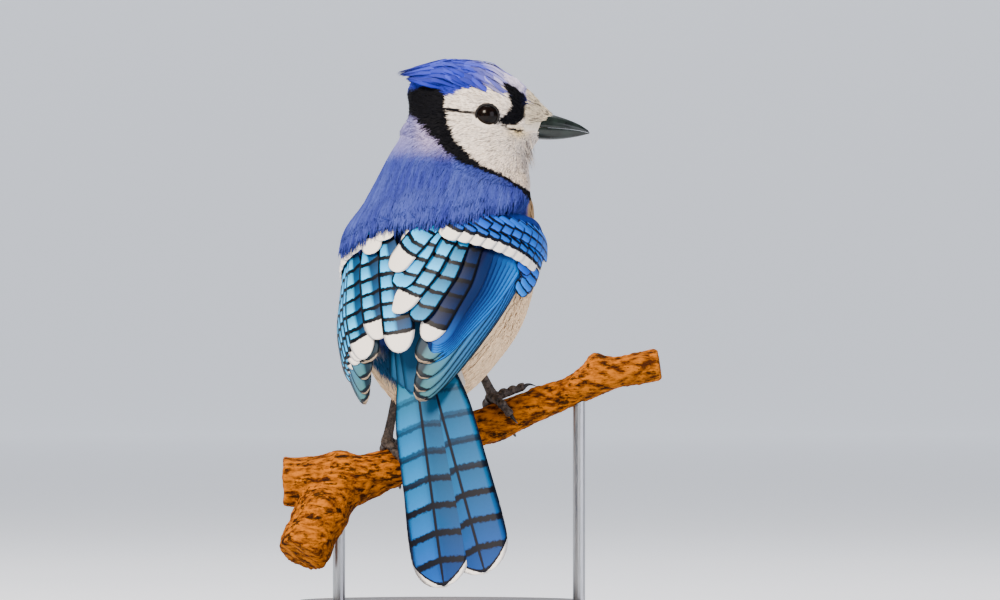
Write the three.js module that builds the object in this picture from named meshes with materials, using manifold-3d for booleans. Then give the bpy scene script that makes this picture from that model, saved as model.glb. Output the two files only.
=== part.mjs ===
// A blue jay at life size, perched on a cut length of branch that a small turned stand holds up.
// Millimetres, +Z up. +Y is the way the body faces and +X is its right; the head looks to its right.
// The origin is the middle of the base's underside.

import * as THREE from 'three';
import { mergeVertices } from 'three/addons/utils/BufferGeometryUtils.js';
import Module from 'manifold-3d';

const wasm = await Module();
wasm.setup();

// Driving dimensions

const gap = 0.3;
const perchTurn = rad(25);
const feetHeight = 80;
const trunkLean = rad(62);
const trunkCentre = vec(0, -4, 54);
const headCentre = vec(10.5, 20.1, 121.8);
const headDip = rad(3);
const tailRoot = vec(1.5, -31.7, 42);
const tailLean = vec(0.268, -0.177, -0.948);
const tailLength = 112;
const feetMiddle = 3;

const base = { radius: 62, height: 8, edge: 3, socketDepth: 4 };
const rod = { radius: 2.5, leftAt: -44, rightAt: 52 };

const trunk = [
  { at: -50, half: 9, back: 3, belly: 9, shift: -4 },
  { at: -44, half: 17, back: 7, belly: 16.5, shift: -3 },
  { at: -36, half: 24, back: 11, belly: 24, shift: -2 },
  { at: -24, half: 31, back: 17, belly: 31.5, shift: 0 },
  { at: -10, half: 36.5, back: 24.5, belly: 35.5, shift: 0 },
  { at: 5, half: 38.5, back: 27.5, belly: 36, shift: 0 },
  { at: 20, half: 37.5, back: 28, belly: 33, shift: 0 },
  { at: 34, half: 33, back: 26.5, belly: 30, shift: 0 },
  { at: 46, half: 27, back: 22, belly: 25, shift: 0 },
  { at: 58, half: 19, back: 14, belly: 18, shift: 0 },
];

// The surface that the folded wings follow: the trunk's own, run on past the rump to the wing tips.
const wingHull = [
  { at: -66, half: 13, back: 17.5, belly: 13, shift: 0 },
  { at: -50, half: 23, back: 20.5, belly: 22, shift: 0 },
  { at: -38, half: 29.5, back: 22.5, belly: 28, shift: 0 },
  { at: -24, half: 34.5, back: 24.5, belly: 31, shift: 0 },
  ...trunk.slice(4),
];

const neck = [
  { at: 0, x: 0, y: 8, z: 80, half: 34, front: 30, back: 29 },
  { at: 0.3, x: -1, y: 12, z: 91, half: 33, front: 28, back: 27 },
  { at: 0.62, x: -0.5, y: 16.5, z: 102, half: 29, front: 25, back: 24 },
  { at: 0.85, x: 0.3, y: 17, z: 110, half: 27, front: 23, back: 23 },
  { at: 1, x: 0.4, y: 16.8, z: 118, half: 23, front: 20, back: 18 },
];

// Head sections from the nape to the feathers at the bill, as heights above the eye's level.
const skull = [
  { at: -31, half: 5, top: 11, bottom: 1 },
  { at: -28, half: 10, top: 15.5, bottom: -7 },
  { at: -19, half: 15, top: 19.5, bottom: -16 },
  { at: -7, half: 17.2, top: 20.6, bottom: -20 },
  { at: 2, half: 16.8, top: 19.6, bottom: -21 },
  { at: 10, half: 14.2, top: 16.4, bottom: -19.5 },
  { at: 16, half: 11, top: 11.4, bottom: -17 },
  { at: 21, half: 8.2, top: 6, bottom: -12 },
  { at: 25.5, half: 5.8, top: 3, bottom: -9.6 },
];

const bill = [
  { at: 16, half: 4.6, top: 3.2, gape: -3.6, bottom: -8.2 },
  { at: 25, half: 4.3, top: 2.1, gape: -3.4, bottom: -8.3 },
  { at: 31, half: 3.4, top: 0.7, gape: -3.5, bottom: -7.6 },
  { at: 37, half: 2.1, top: -1.4, gape: -3.9, bottom: -6.3 },
  { at: 40.5, half: 0.9, top: -3.4, gape: -4.5, bottom: -5.2 },
];
const billHook = 1;

const eye = { radius: 5.2, at: 0, height: 0, inset: 2.9, lid: 4.8, lidThickness: 0.85 };

// Branch centreline as the distance along it from between the feet, its height there and its radius.
const branch = [
  { at: -66, height: -24.4, radius: 9.4 },
  { at: -54, height: -24.6, radius: 9.8 },
  { at: -42, height: -24, radius: 11.4 },
  { at: -31, height: -21.8, radius: 8.8 },
  { at: -20.8, height: -18.6, radius: 7.3 },
  { at: -3.6, height: -10.8, radius: 7.1 },
  { at: 22.4, height: 0.8, radius: 7.2 },
  { at: 44.4, height: 9.8, radius: 6.2 },
  { at: 60.4, height: 17, radius: 6.6 },
  { at: 74, height: 20.4, radius: 6.3 },
  { at: 84, height: 22.6, radius: 6.1 },
];
const knot = { at: 61, reach: 3.2, rise: 0.42 };
const fork = [
  { at: 0, along: -43, depth: 0, height: -24, radius: 10.5 },
  { at: 0.4, along: -50, depth: -8, height: -36, radius: 10.6 },
  { at: 1, along: -59, depth: -17, height: -54, radius: 10.2 },
];

// Small helpers

function rad(degrees) {
  return THREE.MathUtils.degToRad(degrees);
}

function vec(x, y, z) {
  return new THREE.Vector3(x, y, z);
}

const lerp = THREE.MathUtils.lerp;
const smoothstep = THREE.MathUtils.smoothstep;

// A station list's named size at any place, on a smooth curve through the stations.
function sizeAt(stations, key, at) {
  const last = stations.length - 1;
  const place = Math.min(Math.max(at, stations[0].at), stations[last].at);
  let i = 0;
  while (i < last - 1 && stations[i + 1].at < place) i++;
  const slope = (n) => {
    const [a, b] = [stations[Math.max(n - 1, 0)], stations[Math.min(n + 1, last)]];
    return (b[key] - a[key]) / (b.at - a.at);
  };
  const [from, to] = [stations[i], stations[i + 1]];
  const step = to.at - from.at;
  const t = (place - from.at) / step;
  const [t2, t3] = [t * t, t * t * t];
  return (2 * t3 - 3 * t2 + 1) * from[key] + (t3 - 2 * t2 + t) * step * slope(i)
    + (3 * t2 - 2 * t3) * to[key] + (t3 - t2) * step * slope(i + 1);
}

// A closed surface as a solid that can be joined and cut, turned so that its faces point out.
function solidOf(positions, index) {
  const build = (triVerts) => new wasm.Manifold(new wasm.Mesh({
    numProp: 3,
    vertProperties: new Float32Array(positions),
    triVerts: new Uint32Array(triVerts),
  }));
  const made = build(index);
  return made.volume() > 0 ? made : build([...index].reverse());
}

function solid(geometry) {
  for (const name of ['normal', 'uv']) geometry.deleteAttribute(name);
  const merged = mergeVertices(geometry, 1e-4);
  return solidOf(merged.getAttribute('position').array, merged.index.array);
}

function join(solids) {
  return wasm.Manifold.union(solids);
}

// Only the largest closed piece of a solid.
function largest(joined) {
  return joined.decompose().sort((a, b) => b.volume() - a.volume())[0];
}

// A solid on one side of a plane, held back from it by half the gap.
function beyond(whole, point, normal) {
  const n = normal.clone().normalize();
  return whole.trimByPlane([n.x, n.y, n.z], n.dot(point) + gap / 2);
}

function mesh(name, whole, material) {
  const data = largest(whole).getMesh();
  const geometry = new THREE.BufferGeometry();
  geometry.setAttribute('position', new THREE.BufferAttribute(data.vertProperties, 3));
  geometry.setIndex(new THREE.BufferAttribute(data.triVerts, 1));
  geometry.computeVertexNormals();
  const made = new THREE.Mesh(geometry, material);
  made.name = name;
  return made;
}

// A closed loft through rings of points, with a fan over each end.
function loft(sections) {
  const sides = sections[0].length;
  const last = sections.length - 1;
  const ends = [0, last].map((i) => sections[i]
    .reduce((sum, p) => sum.add(p), vec(0, 0, 0)).divideScalar(sides));
  const positions = [...sections.flat(), ...ends].flatMap((p) => p.toArray());
  const [startMiddle, endMiddle] = [sections.length * sides, sections.length * sides + 1];
  const index = [];
  for (let j = 0; j < sides; j++) {
    const next = (j + 1) % sides;
    index.push(startMiddle, next, j, endMiddle, last * sides + j, last * sides + next);
    for (let i = 0; i < last; i++) {
      const [a, b, c, d] = [i * sides + j, i * sides + next, (i + 1) * sides + next, (i + 1) * sides + j];
      index.push(a, b, c, a, c, d);
    }
  }
  return solidOf(positions, index);
}

// A round tube of changing radius along a list of centres.
function tube(centres, radii, sides) {
  const start = centres[1].clone().sub(centres[0]);
  const reference = Math.abs(start.clone().normalize().x) < 0.7 ? vec(1, 0, 0) : vec(0, 1, 0);
  return loft(centres.map((centre, i) => {
    const ahead = centres[Math.min(i + 1, centres.length - 1)];
    const behind = centres[Math.max(i - 1, 0)];
    const way = ahead.clone().sub(behind).normalize();
    const a = reference.clone().addScaledVector(way, -reference.dot(way)).normalize();
    const b = way.clone().cross(a);
    return ringOf(sides, (turn) => centre.clone()
      .addScaledVector(a, Math.cos(turn) * radii[i])
      .addScaledVector(b, Math.sin(turn) * radii[i]));
  }));
}

function ringOf(sides, point) {
  return Array.from({ length: sides }, (_, i) => point((i / sides) * 2 * Math.PI));
}

// A thin curved plate: a grid of middle points thickened along their normals and split alike on both faces.
function plate(rows, columns, middle) {
  const positions = [];
  const index = [];
  for (const side of [0.5, -0.5]) {
    for (let i = 0; i <= rows; i++) {
      for (let j = 0; j <= columns; j++) {
        const { point, normal, thickness } = middle(i / rows, j / columns);
        positions.push(...point.clone().addScaledVector(normal, side * thickness).toArray());
      }
    }
  }
  const under = (rows + 1) * (columns + 1);
  const id = (i, j) => i * (columns + 1) + j;
  for (let i = 0; i < rows; i++) {
    for (let j = 0; j < columns; j++) {
      const [a, b, c, d] = [id(i, j), id(i, j + 1), id(i + 1, j + 1), id(i + 1, j)];
      index.push(a, b, c, a, c, d, under + a, under + c, under + b, under + a, under + d, under + c);
    }
  }
  const border = [];
  for (let j = 0; j < columns; j++) border.push(id(0, j));
  for (let i = 0; i < rows; i++) border.push(id(i, columns));
  for (let j = columns; j > 0; j--) border.push(id(rows, j));
  for (let i = rows; i > 0; i--) border.push(id(i, 0));
  border.forEach((p, k) => {
    const q = border[(k + 1) % border.length];
    index.push(p, under + p, under + q, p, under + q, q);
  });
  return solidOf(positions, index);
}

// A feather's half width along it: a narrow root, parallel edges and a round tip.
function vaneHalf(u, width, rootShare = 0.55, tipFrom = 0.8) {
  const tip = u < tipFrom ? 1 : Math.sqrt(Math.max(0.06, 1 - ((u - tipFrom) / (1 - tipFrom)) ** 2 * 0.97));
  return (width / 2) * lerp(rootShare, 1, smoothstep(u, 0, 0.45)) * tip;
}

// One feather as a plate. lie(u, v) gives a point and the outward normal, with v the distance off the shaft.
function vane(lie, width, options = {}) {
  const { rows = 5, columns = 2, thickness = 0.6, rootShare, tipFrom } = options;
  return plate(rows, columns, (u, w) => {
    const spread = 1 - (1 - u) ** 1.25;
    const off = (w * 2 - 1) * vaneHalf(spread, width, rootShare, tipFrom);
    const { point, normal } = lie(spread, off);
    return { point, normal, thickness: thickness * lerp(1, 0.7, smoothstep(spread, 0.8, 1)) };
  });
}

// The trunk

const right = vec(1, 0, 0);
const along = vec(0, Math.cos(trunkLean), Math.sin(trunkLean));
const dorsal = vec(0, -Math.sin(trunkLean), Math.cos(trunkLean));

// A point on a hull at a station and an angle from the middle of the back, and the normal there.
function hullPoint(hull, at, angle, out = 0) {
  const half = sizeAt(hull, 'half', at);
  const depth = sizeAt(hull, Math.cos(angle) >= 0 ? 'back' : 'belly', at);
  const normal = right.clone().multiplyScalar(Math.sin(angle) / half)
    .addScaledVector(dorsal, Math.cos(angle) / depth)
    .normalize();
  const past = Math.max(0, hull[0].at - at);
  const point = trunkCentre.clone()
    .addScaledVector(along, Math.max(at, hull[0].at) - past)
    .addScaledVector(right, Math.sin(angle) * half)
    .addScaledVector(dorsal, Math.cos(angle) * depth + sizeAt(hull, 'shift', at))
    .addScaledVector(normal, out);
  return { point, normal };
}

function trunkLoft(out) {
  const [first, last] = [trunk[0].at, trunk[trunk.length - 1].at];
  const rows = 14;
  const sides = 22;
  return loft(Array.from({ length: rows + 1 }, (_, i) => {
    const at = lerp(first, last, i / rows);
    return ringOf(sides, (turn) => hullPoint(trunk, at, turn, out).point);
  }));
}

// The mantle lies over the roots of both wings, with its hem at this station.
function mantleHem(angle) {
  return 5 + 22 * smoothstep(Math.abs(angle), rad(25), rad(85)) + 0.9 * Math.cos(angle * 20);
}

function mantle(grow = 0) {
  const reach = rad(80);
  return plate(4, 14, (u, v) => {
    const angle = lerp(-reach, reach, v);
    const at = lerp(43, mantleHem(angle), u);
    const out = lerp(-2, 6.4, smoothstep(u, -0.05, 0.6)) - 1.2 * Math.abs(v * 2 - 1) ** 6;
    const lie = hullPoint(wingHull, at, angle, out);
    return { ...lie, thickness: 1.4 + 2 * grow };
  });
}

function neckLoft(out = 0) {
  const rows = 6;
  return loft(Array.from({ length: rows + 1 }, (_, i) => {
    const at = i / rows;
    const size = (key) => sizeAt(neck, key, at);
    const tilt = lerp(trunkLean, rad(90), at * 0.6);
    const back = vec(0, -Math.sin(tilt), Math.cos(tilt));
    return ringOf(20, (turn) => vec(size('x'), size('y'), size('z'))
      .addScaledVector(right, Math.sin(turn) * (size('half') + out))
      .addScaledVector(back, Math.cos(turn) * (size(Math.cos(turn) > 0 ? 'back' : 'front') + out)));
  }));
}

// The head

const headRight = vec(Math.sin(perchTurn), -Math.cos(perchTurn), 0);
const headAhead = vec(Math.cos(perchTurn) * Math.cos(headDip), Math.sin(perchTurn) * Math.cos(headDip), -Math.sin(headDip));
const headUp = headRight.clone().cross(headAhead);

function inHead(ahead, side, up) {
  return headCentre.clone()
    .addScaledVector(headAhead, ahead)
    .addScaledVector(headRight, side)
    .addScaledVector(headUp, up);
}

// A point on the head's surface at a station and an angle from the crown towards the right cheek.
function headPoint(at, angle, out = 0) {
  const [half, top, bottom] = ['half', 'top', 'bottom'].map((key) => sizeAt(skull, key, at));
  const middle = (top + bottom) / 2;
  const tall = (top - bottom) / 2;
  const [s, c] = [Math.sin(angle), Math.cos(angle)];
  const nx = s / half;
  const nz = c / tall;
  const size = Math.hypot(nx, nz);
  const point = inHead(at, s * half + (nx / size) * out, middle + c * tall + (nz / size) * out);
  const normal = headRight.clone().multiplyScalar(nx / size).addScaledVector(headUp, nz / size);
  return { point, normal };
}

function headLoft() {
  const rows = 12;
  const [first, last] = [skull[0].at, skull[skull.length - 1].at];
  return loft(Array.from({ length: rows + 1 }, (_, i) => {
    const at = lerp(first, last, i / rows);
    return ringOf(20, (turn) => headPoint(at, turn).point);
  }));
}

// Crown feathers laid back in tiers, the longest drawn together in the crest's point.
function crestFeathers() {
  const tiers = [
    { from: 9, to: -15, count: 3, spread: 38, lift: 0.8, width: 11 },
    { from: 1, to: -26, count: 3, spread: 30, lift: 1.7, width: 10 },
    { from: -7, to: -36, count: 3, spread: 24, lift: 2.2, width: 8 },
  ];
  return tiers.flatMap((tier) => Array.from({ length: tier.count }, (_, k) => {
    const side = (k / (tier.count - 1)) * 2 - 1;
    const rootAngle = rad(tier.spread * side);
    const reach = tier.to + 3.2 * Math.abs(side);
    const lie = (u, off) => {
      const at = lerp(tier.from, reach, u);
      const angle = rootAngle * lerp(1, 0.42, u * u);
      const near = headPoint(Math.max(at, -20), angle, 0);
      const across = near.normal.clone().cross(headAhead).normalize();
      const back = Math.min(0, at + 20);
      const point = near.point.clone()
        .addScaledVector(headAhead, back)
        .addScaledVector(headUp, back * 0.33 - Math.abs(side) * u * 2.2)
        .addScaledVector(near.normal, lerp(-1, tier.lift, smoothstep(u, 0, 0.5)) - 0.03 * off * off)
        .addScaledVector(across, off);
      return { point, normal: near.normal };
    };
    return vane(lie, tier.width, { rows: 3, thickness: 0.8, rootShare: 0.7, tipFrom: 0.35 });
  }));
}

// Short stiff feathers that lie forward over the root of the bill.
function nasalTufts() {
  return [-1, 1].map((side) => {
    const lie = (u, off) => {
      const at = lerp(15, 27, u);
      const angle = rad(side * lerp(50, 53, u));
      const near = headPoint(Math.min(at, 25), angle, lerp(-0.8, 0.55, smoothstep(u, 0, 0.5)));
      const across = near.normal.clone().cross(headAhead).normalize();
      const point = near.point.clone().addScaledVector(headAhead, Math.max(0, at - 25)).addScaledVector(across, off);
      return { point, normal: near.normal };
    };
    return vane(lie, 6, { rows: 3, thickness: 0.8, tipFrom: 0.3 });
  });
}

function billRing(at, out, upper) {
  const [half, top, gape, bottom] = ['half', 'top', 'gape', 'bottom'].map((key) => sizeAt(bill, key, at));
  const way = upper ? 1 : -1;
  const edge = gape + way * (gap / 2 - out);
  const far = upper ? top + out : bottom - out;
  const sides = 6;
  return Array.from({ length: sides + 1 }, (_, i) => {
    const turn = lerp(-Math.PI / 2, Math.PI / 2, i / sides);
    const wide = Math.sign(turn) * Math.abs(Math.sin(turn)) ** 0.8;
    return inHead(at, wide * (half + out), lerp(edge, far, Math.cos(turn) ** 0.75));
  });
}

// One half of the bill; out makes the same shape fatter, for the pocket that it sits in.
function billHalf(upper, out = 0) {
  const rows = 8;
  const [first, last] = [bill[0].at - out, bill[bill.length - 1].at];
  const sections = Array.from({ length: rows + 1 }, (_, i) => billRing(lerp(first, last, i / rows), out, upper));
  const tip = inHead(last + (upper ? billHook : 0.3), 0, upper ? -5.1 : -4.95);
  sections.push(billRing(last, out, upper).map((p) => p.lerp(tip, 0.8)));
  return loft(sections);
}

function ball(radius, centre, wide = 14, tall = 9) {
  const made = new THREE.SphereGeometry(radius, wide, tall);
  made.translate(centre.x, centre.y, centre.z);
  return solid(made);
}

function eyeCentre(side) {
  const surface = sizeAt(skull, 'half', eye.at);
  return inHead(eye.at, side * (surface - eye.inset), eye.height);
}

function eyelid(side) {
  const made = new THREE.TorusGeometry(eye.lid, eye.lidThickness, 4, 14);
  made.applyMatrix4(new THREE.Matrix4().makeBasis(headAhead, headUp, headRight.clone().negate()));
  const at = eyeCentre(side).addScaledVector(headRight, side * (eye.inset - 0.1));
  made.translate(at.x, at.y, at.z);
  return solid(made);
}

// The line of the mouth, cut back into the cheek from the bill's gape.
function mouthLine(side) {
  const level = sizeAt(bill, 'gape', 20);
  return plate(3, 1, (u, v) => {
    const at = lerp(14, 26, u);
    const half = sizeAt(skull, 'half', at);
    const deep = lerp(-1.4, 3, v);
    return { point: inHead(at, side * (half + deep), level), normal: headUp, thickness: lerp(0.2, 0.7, u) };
  });
}

function headSolid() {
  let whole = join([headLoft(), ...crestFeathers(), ...nasalTufts(), eyelid(1), eyelid(-1)]);
  for (const side of [1, -1]) {
    whole = whole.subtract(ball(eye.radius + gap, eyeCentre(side)));
    whole = whole.subtract(mouthLine(side));
  }
  return whole.subtract(billHalf(true, gap)).subtract(billHalf(false, gap));
}

// The wings, folded over the back and flanks

// The left and the right wing meet a little left of the spine, where the right one laps over.
const meeting = rad(-8);
const meetingAt = -9.5;

function wingAngle(side, spread) {
  return side * spread + meeting * (1 - spread / rad(90));
}

// A vane laid on the wing hull from a root to a tip, each a station, a spread and a height over the hull.
function wingFeather(side, root, tip, width, options = {}) {
  const { bend = 0.75, shingle = 0.07, tipFrom = 0.82, rows = 4, rootShare = 0.5 } = options;
  const centre = (u) => {
    const at = lerp(root.at, tip.at, u);
    const spread = lerp(root.spread, tip.spread, u ** bend);
    const out = lerp(root.out, tip.out, smoothstep(u, 0, 0.35));
    return hullPoint(wingHull, at, wingAngle(side, rad(spread)), out);
  };
  const lie = (u, off) => {
    const here = centre(u);
    const way = centre(Math.min(u + 0.02, 1)).point.sub(centre(Math.max(u - 0.02, 0)).point).normalize();
    const across = here.normal.clone().cross(way).multiplyScalar(side).normalize();
    const sag = -(off * off) / 76;
    const point = here.point.addScaledVector(across, off).addScaledVector(here.normal, sag + shingle * off);
    const normal = here.normal.clone().addScaledVector(across, off / 38 - shingle).normalize();
    return { point, normal };
  };
  return vane(lie, width, { tipFrom, rows, rootShare, columns: 1 });
}

// Rows of flight feathers and coverts. Each value runs from the first feather of its row to the last.
const wingRows = [
  { name: 'primaries', count: 5, width: [13, 15], root: { at: [20, 9], spread: [99, 84] },
    tip: { at: [-38, -56], spread: [62, 33], out: [1, 2.4] }, early: 5, bend: 0.7, rootShare: 0.3, shingle: 0.1 },
  { name: 'secondaries', count: 4, width: [16, 17], root: { at: [14, 10], spread: [86, 56] },
    tip: { at: [-53, -42], spread: [45, 27], out: [2.2, 3.4] }, bend: 0.85 },
  { name: 'tertials', count: 3, width: [14.5, 13], root: { at: [12, 14], spread: [50, 30] },
    tip: { at: [-35, -9], spread: [18, 1], out: [4, 5.2] }, bend: 0.9 },
  { name: 'alula', count: 2, width: [10, 10], root: { at: [22, 20], spread: [102, 97] },
    tip: { at: [-6, 2], spread: [86, 92], out: [2, 3] } },
  { name: 'greater coverts', count: 5, width: [15, 16], root: { at: [18, 12], spread: [95, 38] },
    tip: { at: [5, 1], spread: [88, 32], out: [3.6, 4.8] }, shingle: 0.07, rows: 3 },
  { name: 'median coverts', count: 4, width: [17, 17], root: { at: [27, 20], spread: [96, 48] },
    tip: { at: [16, 12], spread: [92, 42], out: [3.9, 5] }, shingle: 0.07, rows: 3 },
];

function wingFeathers(side) {
  return wingRows.flatMap((row) => Array.from({ length: row.count }, (_, k) => {
    const share = k / (row.count - 1);
    const along = ([a, b]) => lerp(a, b, share);
    const root = { at: along(row.root.at), spread: along(row.root.spread), out: 1.4 };
    const rounding = row.early ? row.early * Math.sin(Math.PI * Math.min(1, share * 1.15)) : 0;
    const tip = { at: along(row.tip.at) - rounding, spread: along(row.tip.spread), out: along(row.tip.out) };
    return wingFeather(side, root, tip, along(row.width), row);
  }));
}

// The arm and hand under the coverts, where every feather of the wing is rooted.
function wingArm(side) {
  const rows = 5;
  const columns = 8;
  return plate(rows, columns, (u, v) => {
    const spread = lerp(28, 106, v);
    const front = 22 + 7 * smoothstep(v, 0.2, 0.9);
    const hind = 7 + 9 * smoothstep(v, 0.75, 1);
    const lie = hullPoint(wingHull, lerp(front, hind, u), wingAngle(side, rad(spread)), 1.6);
    return { ...lie, thickness: 2.3 - 0.9 * Math.abs(v * 2 - 1) ** 4 };
  });
}

function wing(side) {
  const whole = join([wingArm(side), ...wingFeathers(side)]);
  const clear = whole.subtract(join([trunkLoft(gap), neckLoft(gap * 1.5), mantle(gap)]));
  return beyond(clear, vec(meetingAt, 0, 0), vec(side, 0, 0));
}

// The tail

const tailWay = tailLean.clone().normalize();
const tailSide = right.clone().addScaledVector(tailWay, -right.dot(tailWay)).normalize();
const tailUp = tailWay.clone().cross(tailSide);

// A tail feather fanned from the root by an angle, sunk under the middle pair by a depth.
function tailFeather(fan, length, width, depth, options = {}) {
  const { rootOff = 0, rows = 4 } = options;
  const lie = (u, off) => {
    const d = length * u;
    const side = rootOff + Math.sin(fan) * d + Math.cos(fan) * off;
    const point = tailRoot.clone()
      .addScaledVector(tailWay, Math.cos(fan) * d - Math.sin(fan) * off)
      .addScaledVector(tailSide, side)
      .addScaledVector(tailUp, -depth - 0.006 * side * side);
    return { point, normal: tailUp };
  };
  return vane(lie, width, { rows, thickness: 0.55, rootShare: 0.4, tipFrom: 0.86 });
}

function tail() {
  const pairs = 6;
  const step = 0.85;
  const feathers = [];
  for (let k = 0; k < pairs; k++) {
    for (const side of [-1, 1]) {
      const fan = rad(side > 0 ? 5.2 + 0.15 * k : -2.6 - 0.66 * k);
      const length = tailLength - 0.5 * k ** 2 - (side > 0 ? 0.7 : 0);
      const depth = k * step + (side > 0 ? 0.42 : 0);
      feathers.push(tailFeather(fan, length, 25 - 0.8 * k, depth, { rootOff: side * 1.4 }));
    }
  }
  const coverts = [-1, 0, 1].flatMap((side) => [
    tailFeather(rad(side * 8), 38 - 4 * Math.abs(side), 15, -0.9 - 0.2 * (1 - Math.abs(side)), { rows: 3 }),
    tailFeather(rad(side * 9), 46 - 6 * Math.abs(side), 16, pairs * step + 0.7, { rows: 3 }),
  ]);
  const stub = tube(
    [-5, 0, 6, 13].map((d) => tailRoot.clone().addScaledVector(tailWay, d).addScaledVector(tailUp, -2.2)),
    [4.2, 4.8, 4.6, 3],
    10,
  );
  return join([stub, ...feathers, ...coverts]);
}

// The branch

const perchWay = vec(Math.cos(perchTurn), Math.sin(perchTurn), 0);
const perchAhead = vec(-Math.sin(perchTurn), Math.cos(perchTurn), 0);

function branchPlace(alongIt, depth, height) {
  return vec(feetMiddle, 0, height).addScaledVector(perchWay, alongIt).addScaledVector(perchAhead, depth);
}

// A point on the bark at a place along the branch and an angle from its top, forward positive.
function barkPoint(at, angle, out = 0) {
  const height = sizeAt(branch, 'height', at);
  const slope = (sizeAt(branch, 'height', at + 1) - sizeAt(branch, 'height', at - 1)) / 2;
  const up = vec(0, 0, 1).addScaledVector(perchWay, -slope).normalize();
  const swell = 1 + 0.035 * Math.sin(3 * angle + at * 0.23) + 0.03 * Math.sin(2 * angle - at * 0.31 + 1)
    + knot.rise * Math.exp(-(((at - knot.at) / knot.reach) ** 2)) * Math.max(0, Math.cos(angle)) ** 3;
  const radius = sizeAt(branch, 'radius', at) * swell + out;
  const normal = up.multiplyScalar(Math.cos(angle)).addScaledVector(perchAhead, Math.sin(angle));
  return { point: branchPlace(at, 0, height).addScaledVector(normal, radius), normal };
}

function perch(out = 0) {
  const rows = 20;
  const [first, last] = [branch[0].at - out, branch[branch.length - 1].at + out];
  const limb = loft(Array.from({ length: rows + 1 }, (_, i) => {
    const at = lerp(first, last, i / rows);
    return ringOf(12, (turn) => barkPoint(at, turn, out).point);
  }));
  const steps = 7;
  const places = Array.from({ length: steps + 1 }, (_, i) => i / steps);
  const size = (key, at) => sizeAt(fork, key, at);
  const side = tube(
    places.map((at) => branchPlace(size('along', at), size('depth', at), size('height', at))),
    places.map((at, i) => size('radius', at) * (1 + 0.05 * Math.sin(i * 2.1)) + out),
    12,
  );
  return join([limb, side]);
}

// The legs

const toeRadius = 1.45;
const footRight = { at: 21.5, side: 1, ankle: vec(13, -7, 33), knee: vec(15, 4, 44), cuff: 0.24 };
const footLeft = { at: -20.8, side: -1, ankle: vec(-13, -10, 22), knee: vec(-14, 2, 40), cuff: 0.4 };

// A toe laid over the bark. The last part of its length is the claw.
function toe(at, from, to, alongIt) {
  const steps = 8;
  const clawFrom = 0.7;
  const centres = [];
  const radii = [];
  for (let i = 0; i <= steps; i++) {
    const u = i / steps;
    const claw = Math.max(0, (u - clawFrom) / (1 - clawFrom));
    const pad = 1 + 0.08 * Math.cos(u * Math.PI * 5);
    const radius = claw > 0 ? lerp(1.1, 0.22, claw) : toeRadius * lerp(1.08, 0.86, u / clawFrom) * pad;
    const arch = claw > 0 ? 0.9 * Math.sin(claw * Math.PI) : 0;
    radii.push(radius);
    centres.push(barkPoint(at + alongIt * u, rad(lerp(from, to, u)), radius + 0.55 + arch).point);
  }
  return tube(centres, radii, 6);
}

function palm(foot) {
  return barkPoint(foot.at, 0, 3.1).point;
}

function footSolid(foot) {
  const { at, side } = foot;
  return join([
    ball(2.5, palm(foot), 10, 8),
    toe(at, 8, 172, 2 * side),
    toe(at - side, 4, 138, -9 * side),
    side > 0 ? toe(at + 0.5, -4, 14, 15.5) : toe(at - 0.5, 4, 140, -8),
    toe(at, -6, -118, 4.5),
  ]);
}

function leg(foot) {
  const { ankle, knee, cuff } = foot;
  const sole = palm(foot);
  const shank = [0, 0.12, 0.5, 0.88, 1].map((t) => sole.clone().lerp(ankle, t));
  const tarsus = tube(shank, [2.1, 1.6, 1.45, 1.75, 2.3], 8);
  const hem = sole.clone().lerp(ankle, cuff);
  const thighLine = [0, 0.25, 0.6, 1].map((t) => hem.clone().lerp(knee, t));
  const thigh = tube(thighLine, [2.4, 4.6, 7.4, 8.6], 12);
  const whole = join([footSolid(foot), tarsus, thigh]).subtract(trunkLoft(gap)).subtract(perch(gap * 0.7));
  const shin = ankle.clone().sub(sole);
  const nearFoot = sole.clone().lerp(ankle, 0.13);
  const nearKnee = sole.clone().lerp(ankle, cuff + 0.04);
  const down = shin.clone().negate();
  return {
    foot: beyond(whole, nearFoot, down),
    tarsus: beyond(beyond(whole, nearFoot, shin), nearKnee, down),
    thigh: beyond(whole, nearKnee, shin),
  };
}

// The stand

function turnedBase() {
  const { radius, height, edge, socketDepth } = base;
  const profile = [[0, 0], [radius - 1, 0], [radius, 1], [radius, height - edge - 1], [radius - 1, height - edge],
    [radius - 2.4, height - edge + 0.4], [radius - edge - 2, height], [0, height]];
  const disc = solid(new THREE.LatheGeometry(profile.map(([x, y]) => new THREE.Vector2(x, y)), 36).rotateX(Math.PI / 2));
  const sockets = [rod.leftAt, rod.rightAt].map((at) => {
    const foot = branchPlace(at, 0, height + 1);
    return tube([foot, foot.clone().setZ(height - socketDepth)], [rod.radius + gap, rod.radius + gap], 16);
  });
  return disc.subtract(join(sockets));
}

// A rod from its socket up to the branch, cut to the bark's own shape at its head.
function standRod(at, bark) {
  const foot = branchPlace(at, 0, base.height - base.socketDepth + gap);
  const head = branchPlace(at, 0, feetHeight + sizeAt(branch, 'height', at));
  return tube([foot, head], [rod.radius, rod.radius], 14).subtract(bark);
}

// Materials

const paint = (color, roughness, metalness = 0) => new THREE.MeshStandardMaterial({ color, roughness, metalness });
const blueFeather = paint('#4f63b4', 0.7);
const wingFeatherBlue = paint('#2f86cf', 0.6);
const tailFeatherBlue = paint('#2f8fc4', 0.6);
const paleFeather = paint('#cdbba6', 0.8);
const horn = paint('#26302f', 0.35);
const scale = paint('#2b2622', 0.6);
const eyeball = paint('#120a08', 0.08);
const bark = paint('#a8692b', 0.9);
const turnedWood = paint('#5a4636', 0.5);
const steel = paint('#b9bcc0', 0.3, 0.9);

// Assembly

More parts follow.
